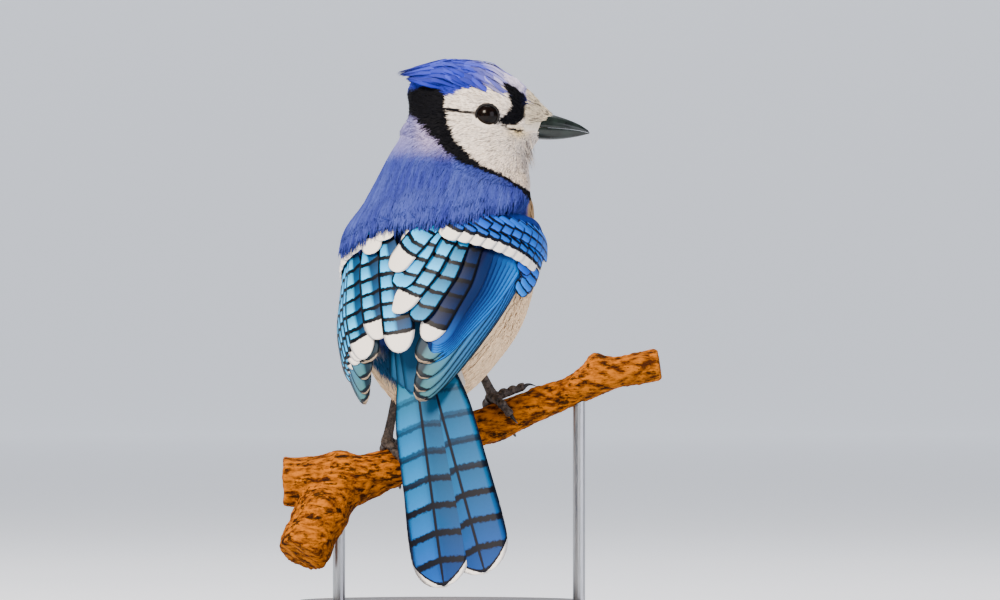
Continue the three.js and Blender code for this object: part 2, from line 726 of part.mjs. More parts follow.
const trunkWhole = join([trunkLoft(0), mantle(), neckLoft(), headSolid()]);
const neckCut = { point: trunkCentre.clone().addScaledVector(along, 45), normal: along };
const collarCut = { point: inHead(-6, 0, -19), normal: vec(-0.16, -0.12, 1).normalize() };
const pocket = join([billHalf(true, gap), billHalf(false, gap)]);
const upper = beyond(trunkWhole, neckCut.point, neckCut.normal).subtract(pocket)
  .subtract(join([ball(eye.radius + gap, eyeCentre(1)), ball(eye.radius + gap, eyeCentre(-1))]));
const torso = beyond(trunkWhole, neckCut.point, neckCut.normal.clone().negate());
const headPart = beyond(upper, collarCut.point, collarCut.normal);
const neckPart = beyond(upper, collarCut.point, collarCut.normal.clone().negate());

const bird = new THREE.Group();
bird.position.z = feetHeight;
bird.add(mesh('torso', torso, blueFeather));
bird.add(mesh('neck', neckPart, blueFeather));
bird.add(mesh('head', headPart, blueFeather));
bird.add(mesh('bill_upper', billHalf(true), horn));
bird.add(mesh('bill_lower', billHalf(false), horn));
for (const [name, side] of [['right', 1], ['left', -1]]) {
  bird.add(mesh(`eye_${name}`, ball(eye.radius, eyeCentre(side)), eyeball));
  bird.add(mesh(`wing_${name}`, wing(side), wingFeatherBlue));
  const parts = leg(side > 0 ? footRight : footLeft);
  bird.add(mesh(`thigh_${name}`, parts.thigh, paleFeather));
  bird.add(mesh(`tarsus_${name}`, parts.tarsus, scale));
  bird.add(mesh(`foot_${name}`, parts.foot, scale));
}
bird.add(mesh('tail', tail().subtract(trunkLoft(gap)), tailFeatherBlue));

const perchGroup = new THREE.Group();
perchGroup.position.z = feetHeight;
perchGroup.add(mesh('perch', perch(), bark));

const stand = new THREE.Group();
stand.add(mesh('stand_base', turnedBase(), turnedWood));
const liftedBark = perch(gap).translate([0, 0, feetHeight]);
stand.add(mesh('stand_rod_left', standRod(rod.leftAt, liftedBark), steel));
stand.add(mesh('stand_rod_right', standRod(rod.rightAt, liftedBark), steel));

const jay = new THREE.Group();
jay.add(bird, perchGroup, stand);

export default jay;
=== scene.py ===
"""Dresses the perched blue jay: plumage, bill, eyes, legs, bark and stand, with the studio round it.

Shapes are worked out in millimetres in the bird's own space, whose z is 0 between the feet, and
turned to the frame's metres when they are put into a mesh.
"""
import logging
import math
from dataclasses import dataclass, replace
from enum import Enum

import bpy
import numpy as np
from mathutils import Matrix


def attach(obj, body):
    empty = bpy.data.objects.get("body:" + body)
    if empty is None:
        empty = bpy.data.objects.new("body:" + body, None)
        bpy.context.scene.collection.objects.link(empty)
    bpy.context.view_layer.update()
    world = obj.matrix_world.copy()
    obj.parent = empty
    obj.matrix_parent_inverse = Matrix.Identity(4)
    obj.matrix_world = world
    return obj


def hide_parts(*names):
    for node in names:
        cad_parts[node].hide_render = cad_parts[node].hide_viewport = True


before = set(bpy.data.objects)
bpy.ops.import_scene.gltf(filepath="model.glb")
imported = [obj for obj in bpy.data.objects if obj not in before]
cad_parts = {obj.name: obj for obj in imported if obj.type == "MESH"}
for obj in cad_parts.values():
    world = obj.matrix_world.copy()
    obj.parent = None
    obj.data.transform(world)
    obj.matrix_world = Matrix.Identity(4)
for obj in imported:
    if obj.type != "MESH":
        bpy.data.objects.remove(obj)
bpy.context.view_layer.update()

LOG = logging.getLogger("jay")
SEED = 20
# The feet's middle stands this many millimetres over the stand's underside.
FEET_HEIGHT = 80.0
# The branch runs, and the head looks, this far round from the bird's right.
TURN = math.radians(25)
RIGHT = np.array([1.0, 0.0, 0.0])
# The trunk's axis rises this steeply from the level.
LEAN = math.radians(62)
ALONG = np.array([0.0, math.cos(LEAN), math.sin(LEAN)])
DORSAL = np.array([0.0, -math.sin(LEAN), math.cos(LEAN)])
TRUNK_CENTRE = np.array([0.0, -4.0, 54.0])
HEAD_CENTRE = np.array([10.5, 20.1, 121.8])
HEAD_DIP = math.radians(3)
HEAD_RIGHT = np.array([math.sin(TURN), -math.cos(TURN), 0.0])
HEAD_AHEAD = np.array([math.cos(TURN) * math.cos(HEAD_DIP), math.sin(TURN) * math.cos(HEAD_DIP),
                       -math.sin(HEAD_DIP)])
HEAD_UP = np.cross(HEAD_RIGHT, HEAD_AHEAD)
FEET_MIDDLE = np.array([3.0, 0.0, 0.0])
PERCH_WAY = np.array([math.cos(TURN), math.sin(TURN), 0.0])
PERCH_AHEAD = np.array([-math.sin(TURN), math.cos(TURN), 0.0])
UP = np.array([0.0, 0.0, 1.0])
# A wing feather's colours are raised to this power, which deepens them.
TINT_POWER = 1.3


def lerp(a: np.ndarray | float, b: np.ndarray | float, share: np.ndarray | float) -> np.ndarray | float:
    """The value a share of the way from a to b.

    Args:
        a: Value or array at share 0.
        b: Value or array at share 1.
        share: Number or array from 0 to 1.

    Returns:
        The value between them.
    """
    return a + (b - a) * share


def smoothstep(value: np.ndarray, low: np.ndarray | float, high: np.ndarray | float) -> np.ndarray:
    """A smooth 0 to 1 step, three t squared less two t cubed, as value goes from low to high.

    Args:
        value: Numbers to step.
        low: Where the step starts; it may be above high, which turns the step round.
        high: Where it ends.

    Returns:
        The stepped numbers.
    """
    share = np.clip((np.asarray(value, float) - low) / (high - low), 0, 1)
    return share * share * (3 - 2 * share)


def unit(vectors: np.ndarray) -> np.ndarray:
    """Vectors scaled to length 1 along their last axis."""
    return vectors / np.maximum(np.linalg.norm(vectors, axis=-1, keepdims=True), 1e-9)


def linear(code: str) -> np.ndarray:
    """An sRGB hex colour as linear red, green and blue.

    Args:
        code: Six hex digits after a hash sign.

    Returns:
        Three numbers from 0 to 1.
    """
    srgb = np.array([int(code[i:i + 2], 16) for i in (1, 3, 5)]) / 255
    return np.where(srgb <= 0.04045, srgb / 12.92, ((srgb + 0.055) / 1.055) ** 2.4)


def rgba(code: str) -> tuple:
    """An sRGB hex colour as a linear colour for a shader's socket."""
    return (*linear(code), 1.0)


def value_noise(points: np.ndarray, size: float, seed: int = 0) -> np.ndarray:
    """Smooth noise from -1 to 1: hashed values on a cubic lattice, blended with a smooth fade.

    Args:
        points: Places in millimetres, in the last axis.
        size: The lattice's step in millimetres.
        seed: Picks another pattern.

    Returns:
        One number for each place.
    """
    place = np.asarray(points, float) / size + 1000.0 + seed * 17.3
    cell = np.floor(place).astype(np.int64)
    part = place - cell
    part = part * part * (3 - 2 * part)
    total = np.zeros(place.shape[:-1])
    for corner in range(8):
        step = np.array([corner & 1, (corner >> 1) & 1, (corner >> 2) & 1])
        x, y, z = np.moveaxis(cell + step, -1, 0)
        code = (x * 73856093) ^ (y * 19349663) ^ (z * 83492791) ^ (seed * 2654435761)
        code = (code ^ (code >> 13)) * 1274126177
        value = ((code ^ (code >> 16)) & 0xFFFF) / 32767.5 - 1
        total += value * np.prod(np.where(step == 1, part, 1 - part), axis=-1)
    return total


def rough_noise(points: np.ndarray, size: float, octaves: int, seed: int = 0) -> np.ndarray:
    """Value noise summed over octaves, each of half the size and half the height of the one before."""
    return sum(value_noise(points, size / 2 ** k, seed + k) / 2 ** k for k in range(octaves))


class Stations:
    """Named sizes at places along a form, joined by a smooth curve."""

    def __init__(self, names: str, *rows: tuple) -> None:
        """Keeps the rows.

        Args:
            names: The names of the sizes, after the place, which is called at.
            rows: For each station its place and its sizes.
        """
        self.table = dict(zip(("at " + names).split(), np.array(rows, float).T))

    def size(self, name: str, at: np.ndarray) -> np.ndarray:
        """A size at any places: a cubic through the stations whose slope at each is its neighbours' chord.

        Args:
            name: Which size.
            at: Places along the form.

        Returns:
            The size at each place.
        """
        x, y = self.table["at"], self.table[name]
        chord = np.diff(y) / np.diff(x)
        slope = np.concatenate([chord[:1], (y[2:] - y[:-2]) / (x[2:] - x[:-2]), chord[-1:]])
        place = np.clip(at, x[0], x[-1])
        i = np.clip(np.searchsorted(x, place, side="right") - 1, 0, len(x) - 2)
        step = x[i + 1] - x[i]
        t = (place - x[i]) / step
        return ((2 * t ** 3 - 3 * t ** 2 + 1) * y[i] + (t ** 3 - 2 * t ** 2 + t) * step * slope[i]
                + (3 * t ** 2 - 2 * t ** 3) * y[i + 1] + (t ** 3 - t ** 2) * step * slope[i + 1])

    @property
    def ends(self) -> tuple:
        """The first and the last place."""
        return self.table["at"][0], self.table["at"][-1]


TRUNK_ROWS = (
    (-50, 9, 3, 9, -4), (-44, 17, 7, 16.5, -3), (-36, 24, 11, 24, -2), (-24, 31, 17, 31.5, 0),
    (-10, 36.5, 24.5, 35.5, 0), (5, 38.5, 27.5, 36, 0), (20, 37.5, 28, 33, 0), (34, 33, 26.5, 30, 0),
    (46, 27, 22, 25, 0), (58, 19, 14, 18, 0),
)
HULL_ROWS = (
    (-66, 13, 17.5, 13, 0), (-50, 23, 20.5, 22, 0), (-38, 29.5, 22.5, 28, 0), (-24, 34.5, 24.5, 31, 0),
    *TRUNK_ROWS[4:],
)
TRUNK = Stations("half back belly shift", *TRUNK_ROWS)
WING_HULL = Stations("half back belly shift", *HULL_ROWS)
NECK = Stations(
    "x y z half front back",
    (0, 0, 8, 80, 34, 30, 29), (0.3, -1, 12, 91, 33, 28, 27), (0.62, -0.5, 16.5, 102, 29, 25, 24),
    (0.85, 0.3, 17, 110, 27, 23, 23), (1, 0.4, 16.8, 118, 23, 20, 18),
)
SKULL = Stations(
    "half top bottom",
    (-31, 5, 11, 1), (-28, 10, 15.5, -7), (-19, 15, 19.5, -16), (-7, 17.2, 20.6, -20), (2, 16.8, 19.6, -21),
    (10, 13.6, 16.4, -19.2), (16, 9.4, 11.8, -16), (21, 5.6, 6.8, -8.6), (25.5, 3, 2.6, -3.4),
)
NAPE = Stations(
    "along depth height radius",
    (0, -2, 17, 100, 20), (0.4, -0.5, 16, 109, 19), (0.75, -1.5, 15, 117, 16.6), (1, -1.5, 14.5, 124, 12.5),
)
BILL = Stations(
    "half top gape bottom",
    (16, 4.6, 3.2, -3.6, -8.2), (25, 4.3, 2.1, -3.4, -8.3), (31, 3.4, 0.7, -3.5, -7.6),
    (37, 2.1, -1.4, -3.9, -6.3), (40.5, 0.9, -3.4, -4.5, -5.2),
)
BRANCH = Stations(
    "height radius",
    (-66, -24.4, 9.4), (-54, -24.6, 9.8), (-42, -24, 11.4), (-31, -21.8, 8.8), (-20.8, -18.6, 7.3),
    (-3.6, -10.8, 7.1), (22.4, 0.8, 7.2), (44.4, 9.8, 6.2), (60.4, 17, 6.6), (74, 20.4, 6.3), (84, 22.6, 6.1),
)
FORK = Stations(
    "along depth height radius",
    (0, -43, 0, -24, 10.5), (0.4, -50, -8, -36, 10.6), (1, -59, -17, -54, 10.2),
)


class Side(Enum):
    """The bird's own right or left, as the sign of x."""

    RIGHT = 1
    LEFT = -1

    @property
    def word(self) -> str:
        """The side's name in a piece's name."""
        return self.name.lower()


def hull_point(hull: Stations, at: np.ndarray, angle: np.ndarray, out: np.ndarray = 0.0) -> tuple:
    """Points on an oval hull round the trunk's axis.

    A point is the axis at its station plus the half width times the angle's sine to the right, and
    the back's or the belly's depth times its cosine to the back.

    Args:
        hull: The hull's stations.
        at: Places along the axis.
        angle: Angles from the middle of the back, towards the bird's right.
        out: Heights over the surface.

    Returns:
        The points and their outward normals.
    """
    at, angle, out = np.broadcast_arrays(*(np.asarray(v, float) for v in (at, angle, out)))
    sine, cosine = np.sin(angle)[..., None], np.cos(angle)[..., None]
    half = hull.size("half", at)[..., None]
    depth = np.where(cosine[..., 0] >= 0, hull.size("back", at), hull.size("belly", at))[..., None]
    normal = unit(RIGHT * sine / half + DORSAL * cosine / depth)
    middle = TRUNK_CENTRE + ALONG * at[..., None] + DORSAL * hull.size("shift", at)[..., None]
    return middle + RIGHT * sine * half + DORSAL * cosine * depth + normal * out[..., None], normal


def in_head(ahead: np.ndarray, side: np.ndarray, up: np.ndarray) -> np.ndarray:
    """Points from the middle of the head: ahead to the bill, side to its right, and up."""
    ahead, side, up = np.broadcast_arrays(*(np.asarray(v, float) for v in (ahead, side, up)))
    return (HEAD_CENTRE + HEAD_AHEAD * ahead[..., None] + HEAD_RIGHT * side[..., None]
            + HEAD_UP * up[..., None])


def head_place(points: np.ndarray) -> tuple:
    """Each point's ahead, side and up from the middle of the head."""
    rel = points - HEAD_CENTRE
    return rel @ HEAD_AHEAD, rel @ HEAD_RIGHT, rel @ HEAD_UP


def trunk_place(points: np.ndarray) -> tuple:
    """Each point's station on the trunk's axis and its angle from the middle of the back."""
    rel = points - TRUNK_CENTRE
    return rel @ ALONG, np.arctan2(rel @ RIGHT, rel @ DORSAL)


def head_point(at: np.ndarray, angle: np.ndarray, out: np.ndarray = 0.0) -> tuple:
    """Points on the head's oval sections, at angles from the crown towards its right cheek.

    Args:
        at: Places ahead of the eyes.
        angle: Angles round the section.
        out: Heights over the surface.

    Returns:
        The points and their outward normals.
    """
    at, angle, out = np.broadcast_arrays(*(np.asarray(v, float) for v in (at, angle, out)))
    top, bottom = SKULL.size("top", at), SKULL.size("bottom", at)
    half, tall = SKULL.size("half", at), (top - bottom) / 2
    across, rise = np.sin(angle) / half, np.cos(angle) / tall
    size = np.hypot(across, rise)
    across, rise = across / size, rise / size
    height = (top + bottom) / 2 + np.cos(angle) * tall + rise * out
    point = in_head(at, np.sin(angle) * half + across * out, height)
    return point, HEAD_RIGHT * across[..., None] + HEAD_UP * rise[..., None]


def bark_point(at: np.ndarray, angle: np.ndarray, out: np.ndarray = 0.0) -> np.ndarray:
    """Points on the branch: a round section square to its rising axis, swollen by two slow waves and a knot.

    Args:
        at: Places along the branch from between the feet.
        angle: Angles from its top, towards the bird's front.
        out: Heights over the bark.

    Returns:
        The points.
    """
    at, angle, out = np.broadcast_arrays(*(np.asarray(v, float) for v in (at, angle, out)))
    slope = (BRANCH.size("height", at + 1) - BRANCH.size("height", at - 1)) / 2
    upward = unit(UP - PERCH_WAY * slope[..., None])
    knot = 0.42 * np.exp(-((at - 61) / 3.2) ** 2) * np.maximum(0, np.cos(angle)) ** 3
    swell = 1 + 0.035 * np.sin(3 * angle + at * 0.23) + 0.03 * np.sin(2 * angle - at * 0.31 + 1) + knot
    radius = BRANCH.size("radius", at) * swell + out
    normal = upward * np.cos(angle)[..., None] + PERCH_AHEAD * np.sin(angle)[..., None]
    middle = FEET_MIDDLE + PERCH_WAY * at[..., None] + UP * BRANCH.size("height", at)[..., None]
    return middle + normal * radius[..., None]


@dataclass
class Sheet:
    """Vertices in millimetres with their faces, and what the faces carry."""

    points: np.ndarray
    faces: list
    uvs: dict
    tints: np.ndarray | None = None

    def object(self, name: str, material: bpy.types.Material, body: bool = True) -> bpy.types.Object:
        """Makes the object that shows these faces and rides on the model's body.

        Args:
            name: The piece's name.
            material: Its finish.
            body: Whether it belongs to the model's body, and rides on it.

        Returns:
            The new object.
        """
        mesh = bpy.data.meshes.new(name)
        counts = np.concatenate([np.full(len(f), f.shape[1]) for f in self.faces])
        corners = np.concatenate([f.reshape(-1) for f in self.faces])
        mesh.vertices.add(len(self.points))
        mesh.loops.add(len(corners))
        mesh.polygons.add(len(counts))
        row = (self.points + UP * FEET_HEIGHT) / 1000
        mesh.vertices.foreach_set("co", row.astype(np.float32).reshape(-1))
        mesh.loops.foreach_set("vertex_index", corners.astype(np.int32))
        starts = np.concatenate([[0], np.cumsum(counts)[:-1]])
        mesh.polygons.foreach_set("loop_start", starts.astype(np.int32))
        mesh.update(calc_edges=True)
        mesh.validate()
        mesh.polygons.foreach_set("use_smooth", np.full(len(mesh.polygons), True))
        for label, places in self.uvs.items():
            layer = mesh.uv_layers.new(name=label)
            layer.data.foreach_set("uv", places[corners].astype(np.float32).reshape(-1))
        if self.tints is not None:
            layer = mesh.color_attributes.new("tint", "FLOAT_COLOR", "POINT")
            layer.data.foreach_set("color", self.tints.astype(np.float32).reshape(-1))
        mesh.materials.append(material)
        made = bpy.data.objects.new(name, mesh)
        bpy.context.scene.collection.objects.link(made)
        if body:
            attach(made, "root")
        LOG.info("%s: %d faces", name, len(counts))
        return made


def loft_faces(rings: int, sides: int) -> list:
    """Quads between closed rings in order, and a fan on each end round two further middle points.

    Args:
        rings: How many rings.
        sides: Points on each.

    Returns:
        The quads and the triangles.
    """
    ring, side = np.meshgrid(np.arange(rings - 1), np.arange(sides), indexing="ij")
    after = (side + 1) % sides
    near, far = ring * sides, (ring + 1) * sides
    quads = np.stack([near + side, near + after, far + after, far + side], -1)
    j = np.arange(sides)
    last = (rings - 1) * sides
    start = np.stack([np.full(sides, rings * sides), (j + 1) % sides, j], -1)
    end = np.stack([np.full(sides, rings * sides + 1), last + j, last + (j + 1) % sides], -1)
    return [quads.reshape(-1, 4), np.concatenate([start, end])]


def outward(points: np.ndarray, faces: list) -> list:
    """The faces turned so that the volume they hold is positive: a sixth of the sum of triple products.

    Args:
        points: Vertices.
        faces: Arrays of triangles and quads.

    Returns:
        The faces, turned round where they faced in.
    """
    volume = 0.0
    for array in faces:
        a = points[array[:, 0]]
        for k in range(1, array.shape[1] - 1):
            volume += np.sum(a * np.cross(points[array[:, k]], points[array[:, k + 1]]))
    return faces if volume > 0 else [array[:, ::-1] for array in faces]


def loft(rings: np.ndarray) -> Sheet:
    """A closed form through rings of points, with its ends filled.

    Args:
        rings: Points by ring and place on it.

    Returns:
        The form, with a map of places round it and along it.
    """
    count, sides = rings.shape[:2]
    points = np.concatenate([rings.reshape(-1, 3), rings[0].mean(0)[None], rings[-1].mean(0)[None]])
    around, length = np.meshgrid(np.arange(sides) / sides, np.arange(count) / (count - 1))
    uv = np.concatenate([np.stack([around, length], -1).reshape(-1, 2), [[0.5, 0], [0.5, 1]]])
    return Sheet(points, outward(points, loft_faces(count, sides)), {"Skin": uv})


def tube(centres: np.ndarray, radii: np.ndarray, sides: int, squash: float = 1.0) -> Sheet:
    """A round tube along centres: rings of radius times cosine and sine on two axes square to the path.

    Args:
        centres: The path's points.
        radii: A radius for each.
        sides: Points on a ring.
        squash: The second axis as a share of the first.

    Returns:
        The closed tube.
    """
    way = unit(np.gradient(centres, axis=0))
    reference = RIGHT if abs(way[0] @ RIGHT) < 0.7 else PERCH_AHEAD
    first = unit(reference - way * (way @ reference)[:, None])
    second = np.cross(way, first)
    turn = np.linspace(0, 2 * np.pi, sides, endpoint=False)
    ring = first[:, None] * np.cos(turn)[:, None] + second[:, None] * np.sin(turn)[:, None] * squash
    return loft(centres[:, None] + ring * np.asarray(radii)[:, None, None])


def joined(sheets: list) -> Sheet:
    """Several sheets as one, which keeps them as separate closed shells.

    Args:
        sheets: Sheets with the same maps.

    Returns:
        The one sheet.
    """
    offsets = np.cumsum([0] + [len(s.points) for s in sheets[:-1]])
    faces = [f + o for s, o in zip(sheets, offsets) for f in s.faces]
    widths = sorted({f.shape[1] for f in faces})
    merged = [np.concatenate([f for f in faces if f.shape[1] == w]) for w in widths]
    uvs = {k: np.concatenate([s.uvs[k] for s in sheets]) for k in sheets[0].uvs}
    tints = None if sheets[0].tints is None else np.concatenate([s.tints for s in sheets])
    return Sheet(np.concatenate([s.points for s in sheets]), merged, uvs, tints)


def fused(name: str, sheet: Sheet, voxel: float, rounds: int) -> tuple:
    """Closed shells that cross, melted into one smooth skin.

    Args:
        name: A name for the passing object.
        sheet: The shells.
        voxel: The remesher's step in millimetres.
        rounds: Rounds of smoothing.

    Returns:
        Its vertices and its quads.
    """
    mesh = bpy.data.meshes.new(name)
    mesh.from_pydata((sheet.points / 1000).tolist(), [], [q for f in sheet.faces for q in f.tolist()])
    passing = bpy.data.objects.new(name, mesh)
    bpy.context.scene.collection.objects.link(passing)
    remesh = passing.modifiers.new("Melt", "REMESH")
    remesh.mode = "VOXEL"
    remesh.voxel_size = voxel / 1000
    smooth = passing.modifiers.new("Ease", "SMOOTH")
    smooth.iterations = rounds
    smooth.factor = 0.5
    done = passing.evaluated_get(bpy.context.evaluated_depsgraph_get()).to_mesh()
    points = np.empty(len(done.vertices) * 3, np.float32)
    done.vertices.foreach_get("co", points)
    quads = np.empty(len(done.loops), np.int32)
    done.loops.foreach_get("vertex_index", quads)
    bpy.data.objects.remove(passing)
    bpy.data.meshes.remove(mesh)
    return points.reshape(-1, 3).astype(float) * 1000, quads.reshape(-1, 4)


def relaxed(points: np.ndarray, quads: np.ndarray, weight: np.ndarray, rounds: int) -> np.ndarray:
    """Vertices moved towards the mean of their neighbours, over and over.

    Args:
        points: The vertices.
        quads: The faces.
        weight: How far each moves in a round, from 0 to 1.
        rounds: How many rounds.

    Returns:
        The moved vertices.
    """
    start = quads.reshape(-1)
    end = np.roll(quads, -1, axis=1).reshape(-1)
    near = np.maximum(np.bincount(start, minlength=len(points)), 1)[:, None]
    for _ in range(rounds):
        total = np.stack([np.bincount(start, points[end, k], len(points)) for k in range(3)], -1)
        points = points + (total / near - points) * weight[:, None]
    return points


def quad_cross(points: np.ndarray, quads: np.ndarray) -> np.ndarray:
    """Each quad's normal times twice its area: the cross product of its diagonals."""
    return np.cross(points[quads[:, 2]] - points[quads[:, 0]], points[quads[:, 3]] - points[quads[:, 1]])


def vertex_normals(points: np.ndarray, quads: np.ndarray) -> np.ndarray:
    """The unit sum of each vertex's face normals, each weighed by its face's area.

    Args:
        points: Vertices.
        quads: Faces.

    Returns:
        A unit normal for each vertex.
    """
    face = quad_cross(points, quads)
    normals = np.zeros_like(points)
    for k in range(4):
        np.add.at(normals, quads[:, k], face)
    return unit(normals)


class Shader:
    """A material and its node tree, with one way to add a node."""

    def __init__(self, name: str) -> None:
        """Starts the material.

        Args:
            name: What the finish is.
        """
        self.material = bpy.data.materials.new(name)
        self.material.use_nodes = True
        self.tree = self.material.node_tree
        self.surface = self.tree.nodes["Principled BSDF"]

    def add(self, kind: str, *inputs: object, output: int = 0, **settings: object) -> bpy.types.NodeSocket:
        """Adds a node.

        Args:
            kind: The node's type, after ShaderNode.
            inputs: A socket or value for each input in order; None leaves one as it is.
            output: Which output to hand back.
            settings: The node's own properties.

        Returns:
            The chosen output.
        """
        node = self.tree.nodes.new("ShaderNode" + kind)
        for key, value in settings.items():
            setattr(node, key, value)
        for socket, value in zip(node.inputs, inputs):
            if isinstance(value, bpy.types.NodeSocket):
                self.tree.links.new(value, socket)
            elif value is not None:
                socket.default_value = value
        return node.outputs[output]

    def dress(self, **sockets: object) -> bpy.types.Material:
        """Sets the surface shader's sockets, whose names have underscores for spaces.

        Args:
            sockets: A socket to link, or a value, for each.

        Returns:
            The finished material.
        """
        for key, value in sockets.items():
            socket = self.surface.inputs[key.replace("_", " ")]
            if isinstance(value, bpy.types.NodeSocket):
                self.tree.links.new(value, socket)
            else:
                socket.default_value = value
        return self.material


@dataclass(frozen=True)
class CoatFinish:
    """Body feathers, loose keratin barbs over down: matte and soft to the eye, with painted shade that
    darkens each tuft towards its root, deep among the others.

    A real barb is about 0.1 mm wide, too fine to show, so the streaks are drawn some ten times as wide.
    """

    name: str
    roughness: float = 0.75
    root_shade: float = 0.74
    streak_mm: float = 1.1

    def material(self) -> bpy.types.Material:
        """Makes the material from the tint attribute, whose alpha runs from 0 at a root to 1 at a tip and
        sets the painted shade.

        Returns:
            The material.
        """
        s = Shader(self.name)
        tint = s.add("Attribute", attribute_name="tint")
        tip = s.add("Attribute", attribute_name="tint", output=3)
        place = s.add("TexCoord", output=3)
        noise = s.add("TexNoise", place, None, 1000 / self.streak_mm, 3.0, 0.6)
        # Painted shade: the colour darkens by the root_shade share towards a tuft's root, deep in the coat.
        shade = s.add("MapRange", tip, 0.0, 0.7, self.root_shade, 1.0)
        speck = s.add("MapRange", noise, 0.3, 0.7, 0.86, 1.12)
        both = s.add("Math", shade, speck, operation="MULTIPLY")
        colour = s.add("VectorMath", tint, None, None, both, operation="SCALE")
        return s.dress(Base_Color=colour, Roughness=self.roughness, Specular_IOR_Level=0.12)


@dataclass(frozen=True)
class VaneFinish:
    """A flight or tail feather of hooked keratin barbs: a flat satin blade with crisp dark bars.

    Over its tint lie fine lines a few to the millimetre, as its barbs do, then bars with a painted highlight
    that fades across each cell between them, the shaft, a dark edge and a white tip.
    """

    name: str
    bar_mm: float = 0.0
    bar_share: float = 0.2
    slant: float = 0.12
    edge: float = 0.9
    shaft: float = 0.0
    corner: float = 0.12
    fade_cm: float = 0.0
    gloss: tuple = (1.35, 0.62)
    ink: str = "#040816"
    white: str = "#f6f1ea"
    roughness: float = 0.5
    barbs_per_cm: float = 26.0
    ragged_per_m: float = 900.0

    def material(self) -> bpy.types.Material:
        """Makes the material from the Vane map, in centimetres from the tip and half widths from the shaft.

        Returns:
            The material.
        """
        s = Shader(self.name)
        tint = s.add("Attribute", attribute_name="tint")
        white_cm = s.add("Attribute", attribute_name="tint", output=3)
        from_tip = s.add("SeparateXYZ", s.add("UVMap", uv_map="Vane"))
        across = from_tip.node.outputs[1]
        off = s.add("Math", across, operation="ABSOLUTE")
        objects = s.add("TexCoord", output=3)
        wobble = s.add("TexNoise", objects, None, self.ragged_per_m, 2.0, 0.5)
        ragged = s.add("Math", wobble, -0.5, operation="ADD")
        barbs = s.add("Math", s.add("Math", from_tip, self.barbs_per_cm, operation="MULTIPLY"),
                      s.add("Math", off, -5.0, operation="MULTIPLY"), operation="ADD")
        barb = s.add("Math", s.add("Math", barbs, math.tau, operation="MULTIPLY"), operation="SINE")
        light = s.add("MapRange", barb, -1.0, 1.0, 0.9, 1.08)
        colour = s.add("VectorMath", tint, None, None, light, operation="SCALE")
        if self.bar_mm:
            phase = s.add("Math", from_tip, 10.0 / self.bar_mm, operation="MULTIPLY")
            slanted = s.add("Math", off, -self.slant, operation="MULTIPLY")
            phase = s.add("Math", phase, slanted, operation="ADD")
            phase = s.add("Math", phase, s.add("Math", ragged, 0.16, operation="MULTIPLY"), operation="ADD")
            part = s.add("Math", s.add("Math", phase, operation="FRACT"), -0.5, operation="ADD")
            part = s.add("Math", part, operation="ABSOLUTE")
            # Painted highlight: each cell between two bars runs from bright to dark towards the next bar.
            gloss = s.add("MapRange", s.add("Math", phase, operation="FRACT"), 0.0, 1.0, *self.gloss)
            colour = s.add("VectorMath", colour, None, None, gloss, operation="SCALE")
            bar_from = 0.5 - self.bar_share / 2
            inked = s.add("MapRange", part, bar_from - 0.03, bar_from + 0.03, 0.0, 1.0)
            if self.fade_cm:
                kept = s.add("MapRange", from_tip, self.fade_cm * 0.45, self.fade_cm, 1.0, 0.35)
                inked = s.add("Math", inked, kept, operation="MULTIPLY")
            colour = s.add("MixRGB", inked, colour, rgba(self.ink))
        uneven = s.add("Math", off, s.add("Math", ragged, 0.08, operation="MULTIPLY"), operation="ADD")
        rim = s.add("MapRange", uneven, self.edge - 0.05, self.edge + 0.04, 0.0, 1.0)
        shaft = s.add("MapRange", off, self.shaft, self.shaft + 0.03, 1.0 if self.shaft else 0.0, 0.0)
        dark = s.add("Math", rim, shaft, operation="MAXIMUM")
        colour = s.add("MixRGB", dark, colour, rgba(self.ink))
        reach = s.add("Math", from_tip, s.add("Math", ragged, 0.12, operation="MULTIPLY"), operation="ADD")
        sides = s.add("Math", s.add("Math", off, 3.0, operation="POWER"), self.corner, operation="MULTIPLY")
        reach = s.add("Math", reach, sides, operation="SUBTRACT")
        lacking = s.add("Math", white_cm, reach, operation="SUBTRACT")
        band = s.add("MapRange", lacking, -0.2, -0.16, 0.0, 1.0)
        has = s.add("Math", white_cm, 0.01, operation="GREATER_THAN")
        colour = s.add("MixRGB", s.add("Math", band, has, operation="MULTIPLY"), colour, rgba(self.ink))
        pale = s.add("MapRange", lacking, -0.015, 0.02, 0.0, 1.0)
        colour = s.add("MixRGB", s.add("Math", pale, has, operation="MULTIPLY"), colour, rgba(self.white))
        return s.dress(Base_Color=colour, Roughness=self.roughness, Specular_IOR_Level=0.16)


